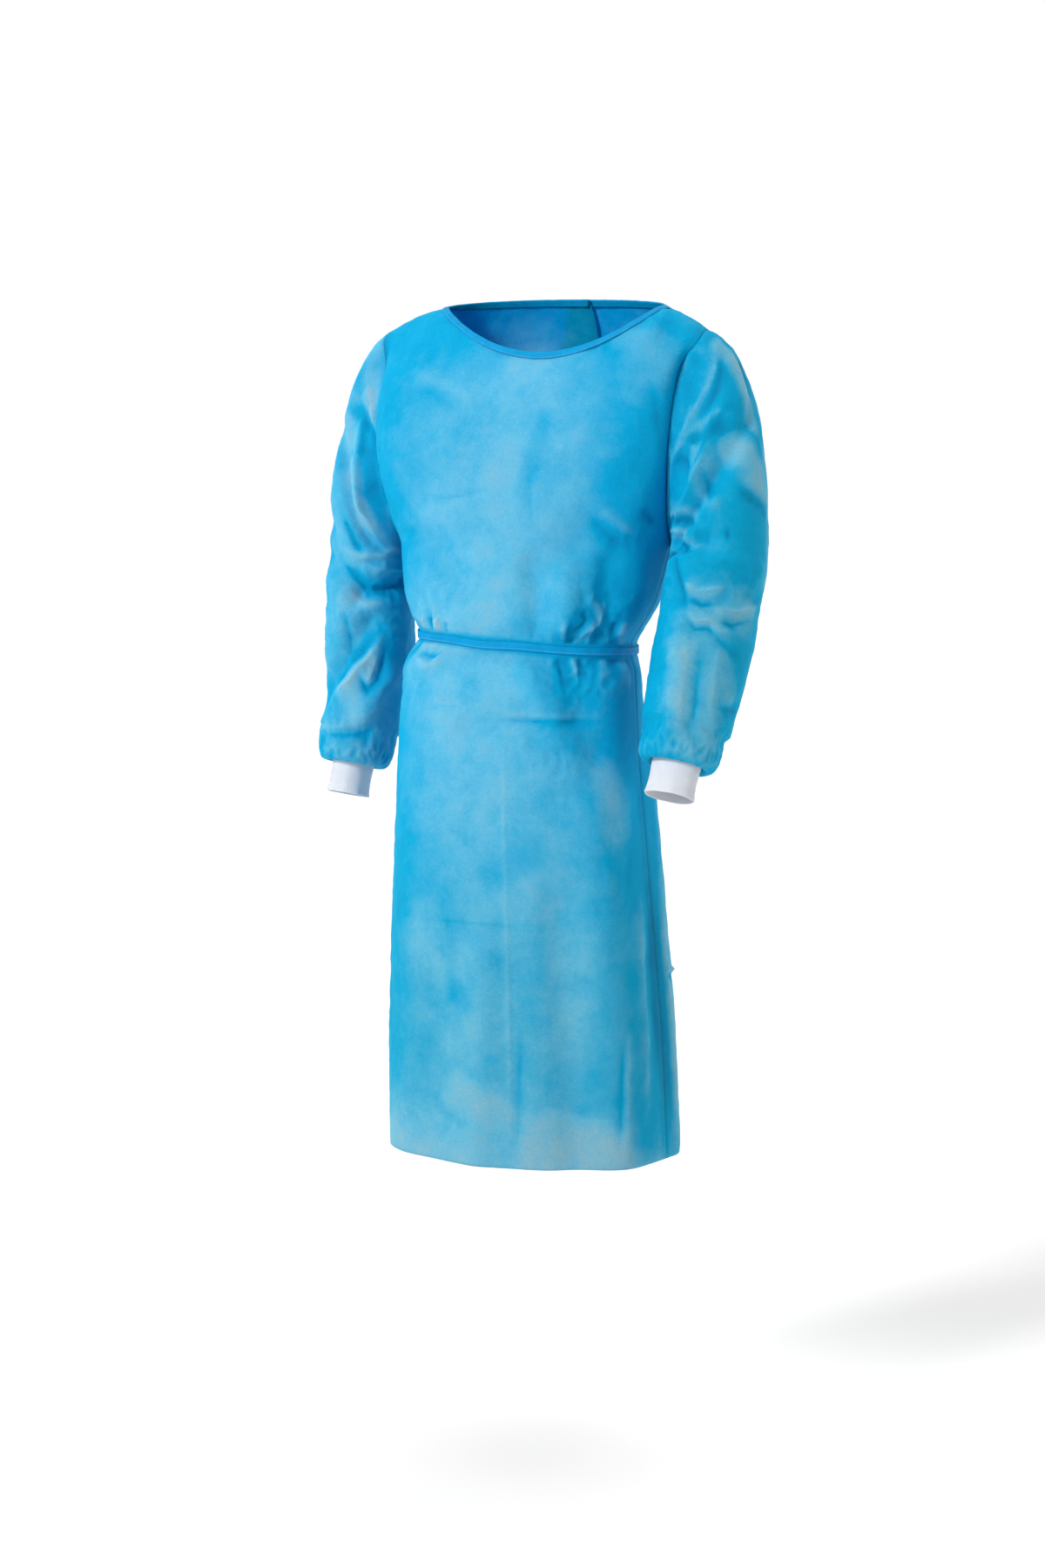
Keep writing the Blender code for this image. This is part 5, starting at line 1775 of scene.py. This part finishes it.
class GOWN_OT_tapes(bpy.types.Operator):
    """Make the neck binding, the waist tie and their knots and ends"""

    bl_idname = "gown.tapes"
    bl_label = "Neck binding and ties"

    def execute(self, context):
        trim = context.scene.gown_trim
        surface, thread = tape_material(trim), thread_material(trim)
        tree = stitch_tree(thread)

        def sewn(name, path, node, closed=False):
            return settled(stitched(name, path, trim, tree, closed), thread, node)

        wall = trim.tape_thickness
        grid, low_out = binding_grid(trim.binding_width, wall)
        binding = thickened(grid_object("neck_binding_tape", grid), wall, 0)
        settled(binding, surface, "neck_binding")
        on_binding = sewn("neck_binding_stitches", grid[1] + low_out * (wall / 2 + STITCH_LIFT),
                          "neck_binding")
        rows = belt_grid()
        belt = settled(grid_object("belt_tape", rows, True, doubled=True), surface, "belt")
        seam = belt_row(seam_across(BELT_WIDTH), BELT_THICKNESS * 0.85)
        on_belt_seam = sewn("belt_stitches", seam, "belt", True)
        behind = grid[np.abs(grid[..., 0]) < NECK_KNOT[0]]
        neck = (0.0, behind[:, 1].max(), NECK_RISE_BACK - trim.binding_width / 2)
        waist = (-0.012, rows[..., 1].max(), BELT_HEIGHT)
        back, knots = back_profile(), {}
        for place, (x, y, z), size, length in (
            ("neck", neck, NECK_KNOT, NECK_TAIL_LENGTH),
            ("belt", waist, BELT_KNOT, BELT_TAIL_LENGTH),
        ):
            centre = np.array([x, y + KNOT_CLEARANCE + size[1] / 2, z])
            knots[place] = tie(place, centre, size, length, back, surface, sewn)
        return {"FINISHED"}


# Where the camera looks and stands, from the neckline's middle
AIM_ACROSS = -0.0446
AIM_HEIGHT = -0.62
EYE_HEIGHT = -0.215
# Where each light comes from: to the camera's right, towards the camera, and up
KEY_FROM = (-1.05, 1.0, 0.75)
TOP_FROM = (0.0, 0.0, 1.0)
SIDE_FROM = (1.6, 0.25, 0.2)
TOP_SOFTNESS = math.radians(60)


def studio_world(stage, ahead):
    """White wherever it is seen; as light, a white backdrop and a dim, warm room before it."""
    world = bpy.data.worlds.new("white studio")
    world.use_nodes = True
    tree = world.node_tree
    towards = add_node(tree, "ShaderNodeTexCoord").outputs["Generated"]
    facing = add_node(tree, "ShaderNodeVectorMath", {0: towards, 1: ahead}, operation="DOT_PRODUCT")
    share = ranged(tree, facing.outputs["Value"], -0.25, 0.6)
    light = mixed(tree, share, stage.room_colour, (1, 1, 1))
    sight = add_node(tree, "ShaderNodeLightPath").outputs["Is Camera Ray"]
    seen = mixed(tree, sight, light, (1, 1, 1))
    tree.links.new(seen, tree.nodes["Background"].inputs["Color"])
    return world


class GOWN_OT_stage(bpy.types.Operator):
    """Make the floor, the studio light and the camera"""

    bl_idname = "gown.stage"
    bl_label = "Floor, light and camera"

    def execute(self, context):
        stage, scene = context.scene.gown_stage, context.scene
        bpy.ops.mesh.primitive_plane_add(size=60, location=(0, 0, stage.floor_height))
        floor = context.object
        floor.name = "floor"
        floor.data.materials.append(floor_material(stage))
        turn = stage.azimuth
        across = Vector((math.cos(turn), math.sin(turn), 0))
        ahead = Vector((-math.sin(turn), math.cos(turn), 0))
        scene.world = studio_world(stage, ahead)
        scene.view_settings.view_transform = "Standard"
        for name, strength, softness, (right, near, up) in (
            ("key", stage.key_strength, stage.key_softness, KEY_FROM),
            ("top", stage.top_strength, TOP_SOFTNESS, TOP_FROM),
            ("side", stage.side_strength, TOP_SOFTNESS, SIDE_FROM),
        ):
            towards = across * right - ahead * near + Vector((0, 0, up))
            light = bpy.data.lights.new(name, "SUN")
            light.energy, light.angle = strength, softness
            linked(name, light).rotation_euler = towards.to_track_quat("Z", "Y").to_euler()
        lens = bpy.data.cameras.new("camera")
        lens.lens, lens.sensor_width = stage.lens, 36
        camera = linked("camera", lens)
        aim = across * AIM_ACROSS + Vector((0, 0, AIM_HEIGHT))
        camera.location = across * AIM_ACROSS - ahead * stage.distance + Vector((0, 0, EYE_HEIGHT))
        camera.rotation_euler = (aim - camera.location).to_track_quat("-Z", "Y").to_euler()
        scene.camera = camera
        return {"FINISHED"}


class GOWN_PT_panel(bpy.types.Panel):
    """The gown's pieces and settings"""

    bl_label = "Isolation gown"
    bl_idname = "GOWN_PT_panel"
    bl_space_type = "VIEW_3D"
    bl_region_type = "UI"
    bl_category = "Gown"

    def draw(self, context):
        for group, operators in LAYOUT:
            column = self.layout.column()
            settings = getattr(context.scene, group)
            for key in settings.__annotations__:
                column.prop(settings, key)
            for operator in operators:
                column.operator(operator.bl_idname)


LAYOUT = (
    ("gown_cloth", (GOWN_OT_body, GOWN_OT_sleeves)),
    ("gown_knit", (GOWN_OT_cuffs,)),
    ("gown_trim", (GOWN_OT_tapes,)),
    ("gown_stage", (GOWN_OT_stage,)),
)
GROUPS = {"gown_cloth": GownCloth, "gown_trim": GownTrim, "gown_knit": GownKnit,
          "gown_stage": GownStage}


def register():
    """Registers the settings, the operators and the panel."""
    for name, group in GROUPS.items():
        bpy.utils.register_class(group)
        setattr(bpy.types.Scene, name, PointerProperty(type=group))
    for _, operators in LAYOUT:
        for operator in operators:
            bpy.utils.register_class(operator)
    bpy.utils.register_class(GOWN_PT_panel)


def unregister():
    """Takes them away again."""
    bpy.utils.unregister_class(GOWN_PT_panel)
    for _, operators in LAYOUT:
        for operator in operators:
            bpy.utils.unregister_class(operator)
    for name, group in GROUPS.items():
        delattr(bpy.types.Scene, name)
        bpy.utils.unregister_class(group)


def main():
    """Builds every piece and the stage."""
    register()
    for _, operators in LAYOUT:
        for operator in operators:
            group, action = operator.bl_idname.split(".")
            getattr(getattr(bpy.ops, group), action)()


if __name__ == "__main__":
    main()
